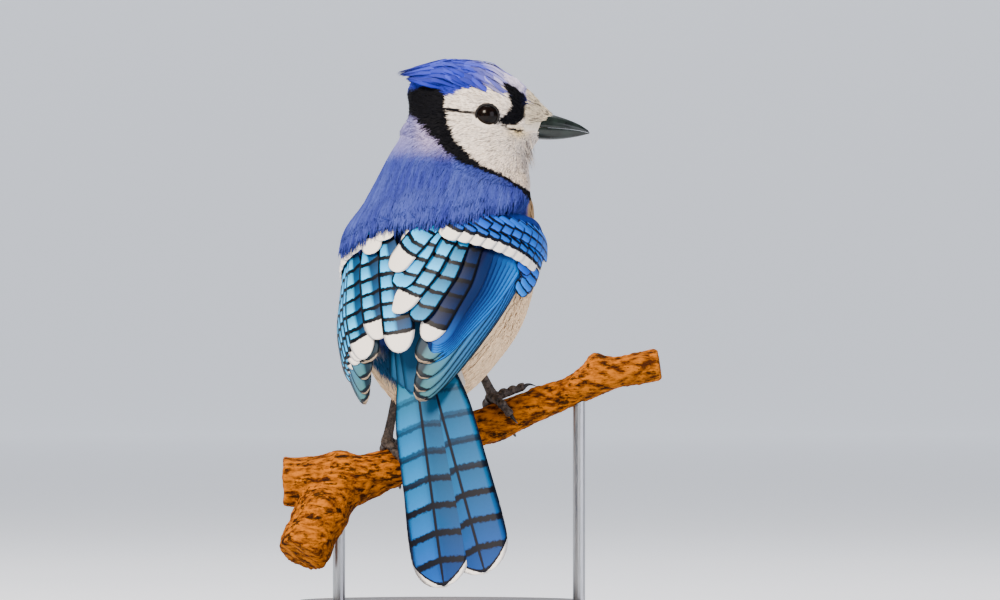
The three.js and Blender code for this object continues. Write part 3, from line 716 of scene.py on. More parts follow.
@dataclass(frozen=True)
class HardFinish:
    """Horn, scale, wood or metal: two tones mixed by stretched noise, with a bump of the same grain."""

    name: str
    dark: str
    pale: str
    grain_mm: float
    stretch: tuple = (1.0, 1.0, 1.0)
    roughness: tuple = (0.4, 0.6)
    bump_mm: float = 0.1
    metal: float = 0.0
    coat: float = 0.0
    glow: float = 0.0
    specks: str = ""
    speck_from: float = 0.56
    specular: float = 0.3
    turned: float = 0.0
    contrast: tuple = (0.36, 0.66)

    def material(self) -> bpy.types.Material:
        """Makes the material: noise on object coordinates, scaled to the grain and stretched along an axis.

        Returns:
            The material.
        """
        s = Shader(self.name)
        place = s.add("Mapping", s.add("TexCoord", output=3), None, (0.0, 0.0, -self.turned))
        place = s.add("Mapping", place, None, None, self.stretch)
        noise = s.add("TexNoise", place, None, 1000 / self.grain_mm, 6.0, 0.62)
        mask = s.add("MapRange", noise, *self.contrast, 0.0, 1.0)
        colour = s.add("MixRGB", mask, rgba(self.dark), rgba(self.pale))
        if self.specks:
            spots = s.add("TexNoise", place, None, 750 / self.grain_mm, 4.0, 0.7)
            spots = s.add("MapRange", spots, self.speck_from, self.speck_from + 0.08, 0.0, 0.92)
            colour = s.add("MixRGB", spots, colour, rgba(self.specks))
        rough = s.add("MapRange", noise, 0.3, 0.7, *self.roughness)
        bump = s.add("Bump")
        bump.node.inputs["Strength"].default_value = 0.6
        bump.node.inputs["Distance"].default_value = self.bump_mm / 1000
        s.tree.links.new(noise, bump.node.inputs["Height"])
        return s.dress(Base_Color=colour, Roughness=rough, Normal=bump, Metallic=self.metal,
                       Coat_Weight=self.coat, Specular_IOR_Level=self.specular,
                       Emission_Color=rgba(self.pale), Emission_Strength=self.glow)


@dataclass(frozen=True)
class EyeFinish:
    """A wet eye: dark brown flecks in near black under a clear coat, which gives small sharp highlights."""

    name: str = "wet dark eye"
    pupil: str = "#030201"
    iris: str = "#140804"
    fleck_mm: float = 1.1

    def material(self) -> bpy.types.Material:
        """Makes the material with a clear coat over two dark tones mixed by noise on object coordinates.

        Returns:
            The material.
        """
        s = Shader(self.name)
        noise = s.add("TexNoise", s.add("TexCoord", output=3), None, 1000 / self.fleck_mm, 4.0, 0.6)
        fleck = s.add("MapRange", noise, 0.42, 0.66, 0.0, 1.0)
        tone = s.add("MixRGB", fleck, rgba(self.pupil), rgba(self.iris))
        return s.dress(Base_Color=tone, Roughness=0.25, Specular_IOR_Level=0.1, Coat_Weight=0.16,
                       Coat_Roughness=0.02, IOR=1.4)


# Each finish's material, once it is made.
MADE: dict = {}


def materials(finish: CoatFinish | VaneFinish | HardFinish | EyeFinish) -> bpy.types.Material:
    """The one material of each finish.

    Args:
        finish: A finish that makes its material.

    Returns:
        Its material, made at its first use.
    """
    if finish not in MADE:
        MADE[finish] = finish.material()
    return MADE[finish]


@dataclass(frozen=True)
class Plumage:
    """Where the body's colours lie, worked out from places on the head and the trunk."""

    crown: str = "#1d29a6"
    crown_light: str = "#4b57d0"
    forehead: str = "#d9d3ea"
    face: str = "#faefe2"
    gape: str = "#e8cf8a"
    throat: str = "#f4e6d8"
    black: str = "#04050c"
    nape: str = "#c3b4da"
    mantle: str = "#2b3488"
    mantle_light: str = "#4f60b2"
    breast: str = "#b8976f"
    rump: str = "#1c4f78"
    belly: str = "#f2d2a8"
    bristle: str = "#e6dac2"
    # Strokes as triples of ahead of the eye, above it and half width.
    collar: tuple = ((-24, 3.5, 7.5), (-21.5, -2, 5.8), (-18.5, -7, 4), (-14, -13, 3.2), (-8.5, -17.2, 2.4),
                     (-2.5, -20.6, 1.1), (7, -24.2, 0.8), (15, -28.4, 0.9), (22, -34, 1.8))
    lore: tuple = ((6.2, 12.6, 1.3), (9.6, 10.2, 2.3), (12.6, 6.6, 3.1), (13, 3, 3.7), (10.2, -0.2, 3.2),
                   (6, -1.8, 1.6))
    gape_line: tuple = ((14, -5.4, 0.5), (9, -5, 0.5), (6, -3.4, 0.4))
    eye_line: tuple = ((-15.5, 1.6, 0.9), (-9, 0.9, 0.6), (-4, 0.4, 0.7))
    # Borders as places ahead of the eye and the border's height there.
    throat_border: tuple = ((-22, -18.5, -14, -8.5, -2.5, 7, 15, 24, 40),
                            (9, -6, -13, -17, -20.4, -24, -28, -33, -38))
    brow_border: tuple = ((-30, -24, -18, -13, -9, -4.5, 3.5, 8, 12, 16, 21),
                          (9, 6.5, 6.2, 7.6, 11, 12.4, 12.2, 10.5, 8, 5, 2.5))

    @staticmethod
    def near_path(ahead: np.ndarray, up: np.ndarray, path: tuple) -> np.ndarray:
        """How far inside a stroke each place is, in millimetres: the stroke's half width less the distance.

        Args:
            ahead: Places ahead of the eye.
            up: Places above the eye.
            path: Triples of ahead, up and half width along the stroke.

        Returns:
            The largest such number over the stroke's stretches, above 0 inside it.
        """
        best = np.full(ahead.shape, -99.0)
        for (ax, ay, aw), (bx, by, bw) in zip(path, path[1:]):
            length = (bx - ax) ** 2 + (by - ay) ** 2
            t = np.clip(((ahead - ax) * (bx - ax) + (up - ay) * (by - ay)) / length, 0, 1)
            far = np.hypot(ahead - lerp(ax, bx, t), up - lerp(ay, by, t))
            best = np.maximum(best, lerp(aw, bw, t) - far)
        return best

    def tint(self, points: np.ndarray, ragged: float) -> np.ndarray:
        """The colour at points on or over the skin.

        Args:
            points: Places in the bird's space.
            ragged: How far noise shifts the borders, in millimetres.

        Returns:
            A linear colour for each.
        """
        shift = np.stack([value_noise(points, 1.6, k) for k in (3, 5)], -1) * ragged
        ahead, _, up = head_place(points)
        ahead, up = ahead + shift[..., 0], up + shift[..., 1]
        station, angle = trunk_place(points)

        def mix(colour: np.ndarray, over: np.ndarray | str, share: np.ndarray) -> np.ndarray:
            """Lays a colour, or a hex code's, over another by a share."""
            over = linear(over) if isinstance(over, str) else over
            return lerp(colour, over, np.clip(share, 0, 1)[..., None])

        def plain(code: str) -> np.ndarray:
            """A hex code's colour at every point."""
            return np.broadcast_to(linear(code), points.shape)

        # The trunk: blue above, tan at the breast's side and cream below.
        slow = value_noise(points, 9, 11) * 0.5 + 0.5
        streak = value_noise(np.stack([station * 0.12, angle * 38, angle * 0], -1), 1.7, 13)
        colour = mix(plain(self.mantle), self.mantle_light, slow * 0.5 + 0.28 * streak)
        flank = lerp(60, 82, smoothstep(station, -34, 0))
        ventral = smoothstep(np.abs(np.degrees(angle)) + shift[..., 0] * 4 - flank, 0, 8)
        colour = mix(colour, mix(plain(self.breast), self.belly, smoothstep(station, 30, -5)), ventral)
        bound = np.where(angle < 0, 84, 64)
        rump = smoothstep(station, -30, -38) * smoothstep(np.abs(np.degrees(angle)), bound + 6, bound)
        colour = mix(colour, self.rump, rump)
        # The neck's side: lilac behind the collar, blue towards the mantle.
        lilac = smoothstep(up, -21, -9) * smoothstep(up, 6, 0) * smoothstep(ahead, -8, -14)
        colour = mix(colour, self.nape, 0.75 * lilac)
        behind = smoothstep(ahead, -14, -24) * smoothstep(up, -22, -12)
        colour = mix(colour, self.mantle_light, 0.5 * behind * smoothstep(ahead, -24, -30))
        # Throat and cheek inside the collar.
        pale = smoothstep(up - np.interp(ahead, *self.throat_border), 0, 0.8) * smoothstep(ahead, -19, -16.5)
        colour = mix(colour, self.throat, pale)
        colour = mix(colour, self.face, pale * smoothstep(up, -22, -10))
        yellow = np.exp(-((ahead - 12.5) / 3.6) ** 2 - ((up + 6.2) / 2.2) ** 2)
        colour = mix(colour, self.gape, 0.75 * pale * yellow)
        # The crown and the crest over the white brow.
        over_brow = up - np.interp(ahead, *self.brow_border)
        crown = mix(plain(self.crown), self.crown_light, slow ** 2)
        colour = mix(colour, crown, smoothstep(over_brow, -0.4, 0.9))
        mottled = smoothstep(value_noise(points, 2.2, 23), -0.35, 0.25)
        fore = smoothstep(ahead, -2, 9) * smoothstep(over_brow, 0.5, 3.5)
        colour = mix(colour, self.forehead, fore * lerp(mottled, 1, smoothstep(ahead, 4, 14) * 0.6) * 0.92)
        # Black strokes: collar, lore, eye line and gape, then the nape, and the patch on the forehead.
        for path in (self.collar, self.lore, self.eye_line, self.gape_line):
            colour = mix(colour, self.black, smoothstep(self.near_path(ahead, up, path), -0.25, 0.35))
        nape = smoothstep(ahead, -20, -23) * smoothstep(up, -3, 0) * smoothstep(up, 10, 8)
        colour = mix(colour, self.black, nape)
        patch = np.exp(-((ahead - 17) / 2.2) ** 2 - ((up - 7) / 1.8) ** 2)
        colour = mix(colour, linear(self.crown) * 0.35, 0.8 * patch)
        # Pale bristles over the bill's root.
        bristle = smoothstep(ahead, 14.6, 16.4) * smoothstep(up, -5, -3) * smoothstep(up, 6.2, 4.6)
        return mix(colour, self.bristle, bristle)


@dataclass
class Coat:
    """The skin over trunk, neck and head, and the body feathers on it."""

    plumage: Plumage = Plumage()
    skin_depth: float = 1.1
    mantle_thickness: float = 2.6
    # The mantle's hem, as angles from the middle of the back and the station there.
    hem: tuple = ((-85, -70, -55, -38, -21, 4.5, 20, 39, 66, 85), (20, 11, 6, 8, 11, 12, 13.5, 18, 30, 38))
    # Borders on the neck, as places ahead of the eye and heights: where the skin is eased, and the head's.
    eased_border: tuple = ((-35, -20, -5, 10, 30), (-6, -14, -22, -26, -30))
    head_border: tuple = ((-35, -20, -5, 10, 30), (-8, -16, -23, -27, -30))
    # A tuft's three sections, as shares of its length and of its width, and its patch on the map.
    section_share: tuple = (0.0, 0.4, 0.78)
    section_width: tuple = (0.55, 1.0, 0.62)
    patch: float = 0.003

    def shells(self) -> Sheet:
        """The lofts of trunk, mantle, neck and head, each a closed shell, drawn in by the coat's depth.

        The trunk and the head are their own ovals. A section of the neck is its middle plus its half
        width times the turn's sine, and its front's or back's depth times the cosine, on an axis that
        tilts from the trunk's lean to the upright.

        Returns:
            The shells as one sheet.
        """
        turn = np.linspace(0, 2 * np.pi, 64, endpoint=False)
        at = np.linspace(*TRUNK.ends, 48)[:, None]
        trunk = hull_point(TRUNK, at, turn[None], -self.skin_depth)[0]
        share = np.linspace(0, 1, 24)[:, None]
        tilt = lerp(LEAN, math.pi / 2, share * 0.6)[..., None]
        back = np.concatenate([np.zeros_like(tilt), -np.sin(tilt), np.cos(tilt)], -1)
        depth = np.where(np.cos(turn) > 0, NECK.size("back", share), NECK.size("front", share)) - 0.3
        middle = np.stack([NECK.size(k, share) for k in "xyz"], -1)
        neck = (middle + RIGHT * (np.sin(turn) * (NECK.size("half", share) - 0.3))[..., None]
                + back * (np.cos(turn) * depth)[..., None])
        head = head_point(np.linspace(*SKULL.ends, 40)[:, None], turn[None], -0.5)[0]
        share = share[:, 0]
        along, depth, height = (NAPE.size(name, share)[:, None] for name in ("along", "depth", "height"))
        path = FEET_MIDDLE + PERCH_WAY * along + PERCH_AHEAD * depth + UP * height
        nape = tube(path, NAPE.size("radius", share), 64)
        return joined([loft(trunk), loft(neck), nape, loft(head), self.mantle()])

    def mantle(self) -> Sheet:
        """The cape of feathers over the wings' roots: a thick plate on the hull that rises to its hem.

        Returns:
            The closed plate.
        """
        across = np.linspace(-1, 1, 61)
        angle = np.radians(80) * across
        hem = np.interp(np.degrees(angle), *self.hem)
        u = np.linspace(0, 1, 24)[:, None]
        out = lerp(-1.6, 5.2, smoothstep(u, -0.15, 0.95)) - 1.2 * np.abs(across) ** 6
        at = lerp(43, hem, u)
        upper = hull_point(WING_HULL, at, angle[None], out)[0]
        lower = hull_point(WING_HULL, at, angle[None], out - self.mantle_thickness)[0]
        return loft(np.concatenate([upper, lower[:, ::-1]], 1))

    def build(self) -> None:
        """Makes the skin, then the tufts region by region."""
        points, quads = fused("skin", self.shells(), 1.2, 16)
        quads = outward(points, [quads])[0]
        points = self.ease_mantle(points, quads)
        # The skin takes the tufts' colours with some painted shade, as partway up a tuft from its root.
        tint = np.concatenate([self.plumage.tint(points, 0.4), np.full((len(points), 1), 0.35)], -1)
        skin_finish = CoatFinish("down under the feathers", roughness=0.9, root_shade=0.75).material()
        skin = Sheet(points, [quads], {}, tint).object("plumage_skin", skin_finish)
        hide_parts("torso", "neck", "head", "thigh_left", "thigh_right")
        self.feather(points, quads, vertex_normals(points, quads))

    def ease_mantle(self, points: np.ndarray, quads: np.ndarray) -> np.ndarray:
        """Smooths the crease between neck and mantle away and fills out what that took.

        Args:
            points: The skin's vertices.
            quads: Its faces.

        Returns:
            The eased vertices.
        """
        station, angle = trunk_place(points)
        ahead, _, up = head_place(points)
        above_hem = station - np.interp(np.degrees(angle), *self.hem)
        below_head = np.interp(ahead, *self.eased_border) - up
        weight = smoothstep(above_hem, 1, 6) * smoothstep(below_head, -2, 4)
        weight = weight * smoothstep(np.abs(angle), 2.1, 1.7)
        eased = relaxed(points, quads, weight * 0.8, 320)
        fill = weight * smoothstep(above_hem, 1, 22) * smoothstep(below_head, -2, 14)
        eased = eased + vertex_normals(eased, quads) * fill[:, None] * 2.7
        # The coverts' roots stay covered: near the hem the skin keeps a least height over the wings' hull.
        station, angle = trunk_place(eased)
        above_hem = station - np.interp(np.degrees(angle), *self.hem)
        surface, out_way = hull_point(WING_HULL, station, angle)
        height = np.sum((eased - surface) * out_way, -1)
        least = lerp(-8, 5.6, smoothstep(above_hem, 34, 9)) - 1.2 * np.abs(angle / np.radians(80)) ** 6
        near_back = smoothstep(np.abs(angle), 1.55, 1.4)
        lift = np.maximum(0, least - height) * smoothstep(above_hem, 0, 2) * near_back
        return relaxed(eased + out_way * lift[:, None], quads, weight * 0.6, 50)

    def feather(self, points: np.ndarray, quads: np.ndarray, normals: np.ndarray) -> None:
        """Spreads roots over the skin by area, and makes each region's tufts.

        Args:
            points: The skin's vertices.
            quads: Its faces.
            normals: Its vertex normals.
        """
        finish = CoatFinish("body feather barbs").material()
        draw = np.random.default_rng(SEED)
        middle = points[quads].mean(1)
        area = np.linalg.norm(quad_cross(points, quads), axis=1)
        ahead, side, up = head_place(middle)
        station, angle = trunk_place(middle)
        is_head = (up > np.interp(ahead, *self.head_border)) & (ahead > -34)
        covered = (station < 8) & (station > -30) & (np.abs(np.degrees(angle)) < 88) & ~is_head
        on_eye = (np.hypot(ahead, up) < 4.9) & (np.abs(side) > 8)
        in_bill = (ahead > 15.5) & (up > -5) | (ahead > 22)
        ventral = np.abs(np.degrees(angle)) > 92
        # Each region's faces, its number of tufts, their lengths and widths, and their tips' lift.
        regions = {
            "coat_face": (is_head & (ahead > -16) & (up < 12), 12400, (2.4, 4.2), (0.34, 0.6), 0.5),
            "coat_crown": (is_head & ((ahead <= -16) | (up >= 12)), 9500, (3.5, 6), (0.4, 0.75), 0.5),
            "coat_neck": (~is_head & (station > 42), 12000, (5, 8), (0.45, 0.8), 0.5),
            "coat_mantle": (~is_head & (station <= 42) & ~ventral, 12400, (6, 9.5), (0.5, 0.9), 0.5),
            "coat_breast": (~is_head & (station <= 42) & ventral, 12400, (6, 10), (0.7, 1.2), 0.9),
        }
        for name, (chosen, count, length, width, lift) in regions.items():
            weight = area * (chosen & ~covered & ~on_eye & ~in_bill)
            pick = draw.choice(len(quads), count, p=weight / weight.sum())
            a, b = draw.random((2, count))
            corners = points[quads[pick]]
            near, far = (lerp(corners[:, i], corners[:, j], a[:, None]) for i, j in ((0, 1), (3, 2)))
            spot = lerp(near, far, b[:, None])
            normal = unit(normals[quads[pick]].mean(1))
            flow = self.lie(spot, normal, draw)
            near_bill = lerp(1, 0.5, smoothstep(head_place(spot)[0], 6, 18))
            sizes = lerp(*length, draw.random(count)) * near_bill, lerp(*width, draw.random(count))
            tint = self.tuft_tint(spot, spot + flow * sizes[0][:, None] * 0.6, draw)
            made = self.tufts(spot, normal, flow, *sizes, lift, tint).object(name, finish)

    def lie(self, spot: np.ndarray, normal: np.ndarray, draw: np.random.Generator) -> np.ndarray:
        """The way that feathers point: out from the bill on the head, and down the trunk behind it.

        Args:
            spot: Roots.
            normal: The skin's normals there.
            draw: The seeded draw.

        Returns:
            A unit direction along the skin for each.
        """
        ahead, _, up = head_place(spot)
        from_bill = unit(spot - in_head(23, 0, -3))
        share = smoothstep(up + 0.35 * ahead, -31, -19)[:, None]
        crown = smoothstep(up, 8, 14)[:, None]
        from_bill = unit(from_bill - crown * (HEAD_AHEAD * 0.8))
        flow = lerp(-ALONG, from_bill, share)
        flow = flow + draw.normal(0, 0.09, spot.shape)
        return unit(flow - normal * np.sum(flow * normal, -1, keepdims=True))

    def tuft_tint(self, spot: np.ndarray, middle: np.ndarray, draw: np.random.Generator) -> np.ndarray:
        """Each tuft's colour: the marking that its middle lies over, a little lighter or darker.

        Args:
            spot: Roots.
            middle: Middles.
            draw: The seeded draw.

        Returns:
            A linear colour for each tuft.
        """
        tint = self.plumage.tint(middle, 0.45)
        ahead, _, up = head_place(spot)
        gape_side = smoothstep(ahead, -6, 10) * smoothstep(up, -5, -9) * (up > -26)
        shade = np.where(gape_side > draw.random(len(spot)) * 5, 0.4, draw.uniform(0.82, 1.15, len(spot)))
        return tint * shade[:, None]

    def tufts(self, spot: np.ndarray, normal: np.ndarray, flow: np.ndarray, length: np.ndarray,
              width: np.ndarray, lift: float, tint: np.ndarray, fall: float = 35.0) -> Sheet:
        """Thin closed tufts: three triangular sections along a path that leaves the skin and bends back.

        The path at share t is the root plus t lengths along the flow, plus the normal times a rise
        that grows with t less t squared lengths over twice the body's radius.

        Args:
            spot: Roots.
            normal: The skin's normals.
            flow: Directions along the skin.
            length: Lengths in millimetres.
            width: Widths in millimetres.
            lift: The tip's height over the skin.
            tint: Colours.
            fall: The body's radius that the tuft bends round.

        Returns:
            All the tufts as one sheet.
        """
        count = len(spot)
        side = np.cross(normal, flow)
        wide = np.array(self.section_width)
        t = np.array(self.section_share)[None, :, None]
        rise = -0.35 + (lift + 0.35) * np.sqrt(t) - (length[:, None, None] * t) ** 2 / (2 * fall)
        path = spot[:, None] + flow[:, None] * length[:, None, None] * t + normal[:, None] * rise
        half = (width[:, None] * wide / 2)[..., None]
        off = side[:, None] * half
        corners = [path - off, path + off, path + normal[:, None] * half * 0.7]
        end = spot + flow * length[:, None] + normal * (lift - length[:, None] ** 2 / (2 * fall))
        points = np.concatenate([np.stack(corners, 2).reshape(count, -1, 3), end[:, None]], 1)
        each = points.shape[1]
        k = np.arange(3)
        after = (k + 1) % 3
        quads = np.concatenate([np.stack([s + k, s + after, s + 3 + after, s + 3 + k], -1) for s in (0, 3)])
        tris = np.concatenate([np.stack([6 + k, 6 + after, np.full(3, each - 1)], -1), [[2, 1, 0]]])
        offset = (np.arange(count) * each)[:, None, None]
        # Each vertex's share of the tuft's length goes in the alpha, where the finish paints shade towards
        # the root.
        along = np.append(np.repeat(self.section_share, 3), 1.0)
        alpha = np.broadcast_to(along, (count, each))[..., None]
        tints = np.concatenate([np.repeat(tint[:, None], each, 1), alpha], -1)
        faces = [(quads + offset).reshape(-1, 4), (tris + offset).reshape(-1, 3)]
        flat = points.reshape(-1, 3)
        uvs = {"OFBake": self.bake_patches(spot, along)}
        return Sheet(flat, outward(flat, faces), uvs, tints.reshape(-1, 4))

    def bake_patches(self, spot: np.ndarray, along: np.ndarray) -> np.ndarray:
        """A small patch for each tuft at its root's place on an unwrap of the trunk round its own axis.

        Args:
            spot: Roots.
            along: Each vertex's share of a tuft's length.

        Returns:
            Map places for every vertex.
        """
        station, angle = trunk_place(spot)
        u = 0.5 + 0.46 * angle / np.pi
        v = 0.04 + 0.92 * (station + 55) / 200
        wide = np.array([-1, 1, 0] * 3 + [0]) * self.patch / 2
        place = np.stack([u[:, None] + wide, v[:, None] + (along - 0.5) * self.patch], -1)
        return np.clip(place, 0, 1).reshape(-1, 2)


@dataclass(frozen=True)
class VaneRow:
    """A row of feathers from its first, outermost, to its last. Pairs give both ends' values."""

    name: str
    finish: VaneFinish
    bright: tuple
    deep: str
    count: int = 0
    width: tuple = (0.0, 0.0)
    root_at: tuple = (0.0, 0.0)
    root_spread: tuple = (0.0, 0.0)
    tip_at: tuple = (0.0, 0.0)
    tip_spread: tuple = (0.0, 0.0)
    tip_out: tuple = (0.0, 0.0)
    white: tuple = (0.0, 0.0)
    bend: float = 0.8
    shingle: float = 0.08
    early: float = 0.0
    root_share: float = 0.45
    tip_from: float = 0.82
    # Whether the colours run from root to tip, and not along the row.
    fades_along: bool = False
    # Where across a vane the deep inner web gives way to the bright outer one, if it has such a web.
    web: float | None = None
    # Whether the first feathers are darkened with painted shade, and whether the last ones' roots are.
    painted_shade_first: bool = False
    painted_shade_roots: bool = False


@dataclass
class Vanes:
    """Closed thin feathers on a grid: rows along the shaft and columns across it."""

    rows: int = 22
    columns: int = 8
    thickness: float = 0.28

    def half_width(self, u: np.ndarray, width: np.ndarray, root_share: float, tip_from: float) -> np.ndarray:
        """A feather's half width: narrow at the root, parallel along, and an ellipse's quarter at the tip."""
        tip = np.sqrt(np.maximum(0.004, 1 - np.clip((u - tip_from) / (1 - tip_from), 0, 1) ** 2))
        return width / 2 * lerp(root_share, 1, smoothstep(u, 0, 0.45)) * tip

    def shares(self) -> tuple:
        """Where the grid's rows and columns lie, closer together at the tip."""
        u = 1 - (1 - np.linspace(0, 1, self.rows + 1)) ** 1.3
        return u, np.linspace(-1, 1, self.columns + 1)

    def sheet(self, points: np.ndarray, normals: np.ndarray, from_tip: np.ndarray,
              tints: np.ndarray) -> Sheet:
        """Closes each grid of middle points into a lens: both faces share the border.

        A face stands off the middle by half the thickness times the root of one less the square of the
        share across, and a low power of a sine along.

        Args:
            points: Middle points, by feather, row and column.
            normals: The feathers' normals at them.
            from_tip: Each point's distance from its tip, in millimetres.
            tints: Colours with the white tip's length in centimetres as alpha.

        Returns:
            All the feathers as one sheet.
        """
        count, rows, columns = points.shape[:3]
        v = np.linspace(-1, 1, columns)
        full = (1 - v ** 2) ** 0.5 * np.sin(np.linspace(0.15, np.pi, rows))[:, None] ** 0.35
        full[0], full[-1], full[:, 0], full[:, -1] = 0, 0, 0, 0
        step = normals * (full * self.thickness / 2)[None, ..., None]
        grid = rows * columns
        inner = np.zeros((rows, columns), bool)
        inner[1:-1, 1:-1] = True
        top = np.arange(grid).reshape(rows, columns)
        under = top.copy()
        under[inner] = grid + np.arange(inner.sum())
        upper, lower = (np.stack([t[:-1, :-1], t[:-1, 1:], t[1:, 1:], t[1:, :-1]], -1).reshape(-1, 4)
                        for t in (top, under))
        faces = np.concatenate([upper, lower[:, ::-1]])

        def both(values: np.ndarray, lower: np.ndarray) -> np.ndarray:
            """The upper grid's values and the lower face's inner ones."""
            flat = values.reshape(count, grid, -1)
            return np.concatenate([flat, lower.reshape(count, grid, -1)[:, inner.reshape(-1)]], 1)

        every = both(points + step, points - step)
        across = np.broadcast_to(v, (count, rows, columns))
        vane = np.stack([from_tip / 10, across], -1)
        side = int(np.ceil(np.sqrt(count)))
        k = np.arange(count)[:, None, None]
        u_share = np.broadcast_to(np.linspace(0.04, 0.96, rows)[:, None], (count, rows, columns))
        atlas = np.stack([(k % side + 0.5 + 0.46 * across) / side, (k // side + u_share) / side], -1)
        stride = every.shape[1]
        all_faces = (faces[None] + (np.arange(count) * stride)[:, None, None]).reshape(-1, 4)
        flat = every.reshape(-1, 3)
        uvs = {"Vane": both(vane, vane).reshape(-1, 2), "OFBake": both(atlas, atlas).reshape(-1, 2)}
        return Sheet(flat, outward(flat, [all_faces]), uvs, both(tints, tints).reshape(-1, 4))


# The blues come from the barbs' structure and look matte and bright; bars and shafts are dark pigment.
COVERT_FINISH = VaneFinish("barred blue coverts", 4.2, bar_share=0.28, slant=0.1, edge=0.86, gloss=(1.2, 0.5))
TERTIAL_FINISH = VaneFinish("barred azure tertials", 7.2, bar_share=0.26, slant=0.2, edge=0.82, ink="#01040f",
                            gloss=(1.5, 0.42))
SECONDARY_FINISH = VaneFinish("plain bright secondaries", edge=0.94, ink="#052a78")
PRIMARY_FINISH = VaneFinish("plain blue primaries", edge=0.93, ink="#0a1620", white="#a8947c", corner=0.15)
TAIL_FINISH = VaneFinish("barred blue tail", 11.2, bar_share=0.25, slant=-0.16, edge=0.97, shaft=0.035,
                         corner=1.1, gloss=(1.1, 0.6), fade_cm=9.0)
CREST_FINISH = VaneFinish("crest feathers", edge=1.2, roughness=0.6)

COVERT_ROWS = (
    VaneRow("primary_coverts", COVERT_FINISH, ("#1488f4", "#0d55c4"), "#062a78",
            6, (8, 8), (20, 18), (96, 86), (-4, 1), (88, 76), (2.0, 3.0), shingle=0.1),
    VaneRow("alula", COVERT_FINISH, ("#1a9af8", "#1478e8"), "#062a78",
            3, (8, 8), (14, 12), (99, 90), (-7, -1), (80, 86), (2.6, 3.3), shingle=0.1),
    VaneRow("median_coverts", COVERT_FINISH, ("#1f8df2", "#1646c0"), "#10307c",
            9, (8, 8.5), (29, 20), (99, 48), (13.5, 12.5), (96, 42), (3.8, 4.8), shingle=0.09),
)
PRIMARIES = VaneRow(
    "primaries", PRIMARY_FINISH, ("#1583dc", "#5f8c8c"), "#0a2038",
    9, (10, 12), (17, 9), (92, 76), (-47, -46), (52, 29), (0.8, 2.2), (0.05, 0.09),
    bend=0.62, early=14, shingle=0.1, root_share=0.35, fades_along=True, web=-0.05,
)
GREATER_COVERTS = VaneRow(
    "greater_coverts", COVERT_FINISH, ("#1a8ff4", "#1458d0"), "#08348c",
    10, (8.5, 9), (19, 16), (95, 34), (4.5, 5.0), (86, 26), (3.2, 4.3), (0.4, 0.46), shingle=0.09,
)
SIDE_ROWS = {
    Side.RIGHT: (
        PRIMARIES,
        VaneRow("secondaries", SECONDARY_FINISH, ("#0a96e6", "#0654b4"), "#051f58",
                8, (9, 11), (9, 8), (80, 54), (-45, -39), (37, 34), (2.2, 3.3), bend=0.85,
                web=-0.05, painted_shade_roots=True),
        GREATER_COVERTS,
    ),
    Side.LEFT: (
        replace(PRIMARIES, root_spread=(97, 78), tip_spread=(54, 14), early=15),
        VaneRow("secondaries", TERTIAL_FINISH, ("#48ccff", "#30b2fa"), "#041a52",
                6, (11, 12), (11, 8), (90, 52), (-50, -45), (54, 26), (1.9, 3.0), (0.0, 0.6), bend=0.9,
                web=-0.05),
        replace(GREATER_COVERTS, root_at=(19, 17), root_spread=(97, 14), tip_at=(-3, 4.0),
                tip_spread=(90, 10), tip_out=(3.0, 4.0)),
    ),
}
TERTIAL_ROW = VaneRow("tertials", TERTIAL_FINISH, ("#48ccff", "#30b2fa"), "#041a52", bend=0.9, tip_from=0.8)
TERTIAL_ROWS = {Side.RIGHT: replace(TERTIAL_ROW, painted_shade_first=True), Side.LEFT: replace(TERTIAL_ROW, web=0.15)}
# Each inner feather's root and tip as station, spread and height, then its width and its white tip's length.
TERTIALS = {
    Side.RIGHT: ((9, 45, 1.6, -38, 29, 3.5, 11.5, 0.62), (9.5, 38, 1.6, -31, 19, 3.9, 11.5, 0.0),
                 (10.5, 32, 1.6, -28, 6, 4.3, 12.5, 0.95), (12.5, 24, 1.6, -17, 4, 4.7, 12, 0.0),
                 (13, 22, 1.6, -9, -1, 4.9, 12, 0.92), (15, 14, 1.0, 1, 5, 3.6, 9, 0.6)),
    Side.LEFT: ((9, 47, 1.6, -45, 20, 3.0, 13, 0.95), (9, 30, 1.6, -38, 3, 3.4, 13.5, 0.85),
                (12, 14, 1.6, -44, -16, 3.7, 13.5, 0.8), (18, 22, 1.6, -1, 19, 4.3, 10, 0.7)),
}


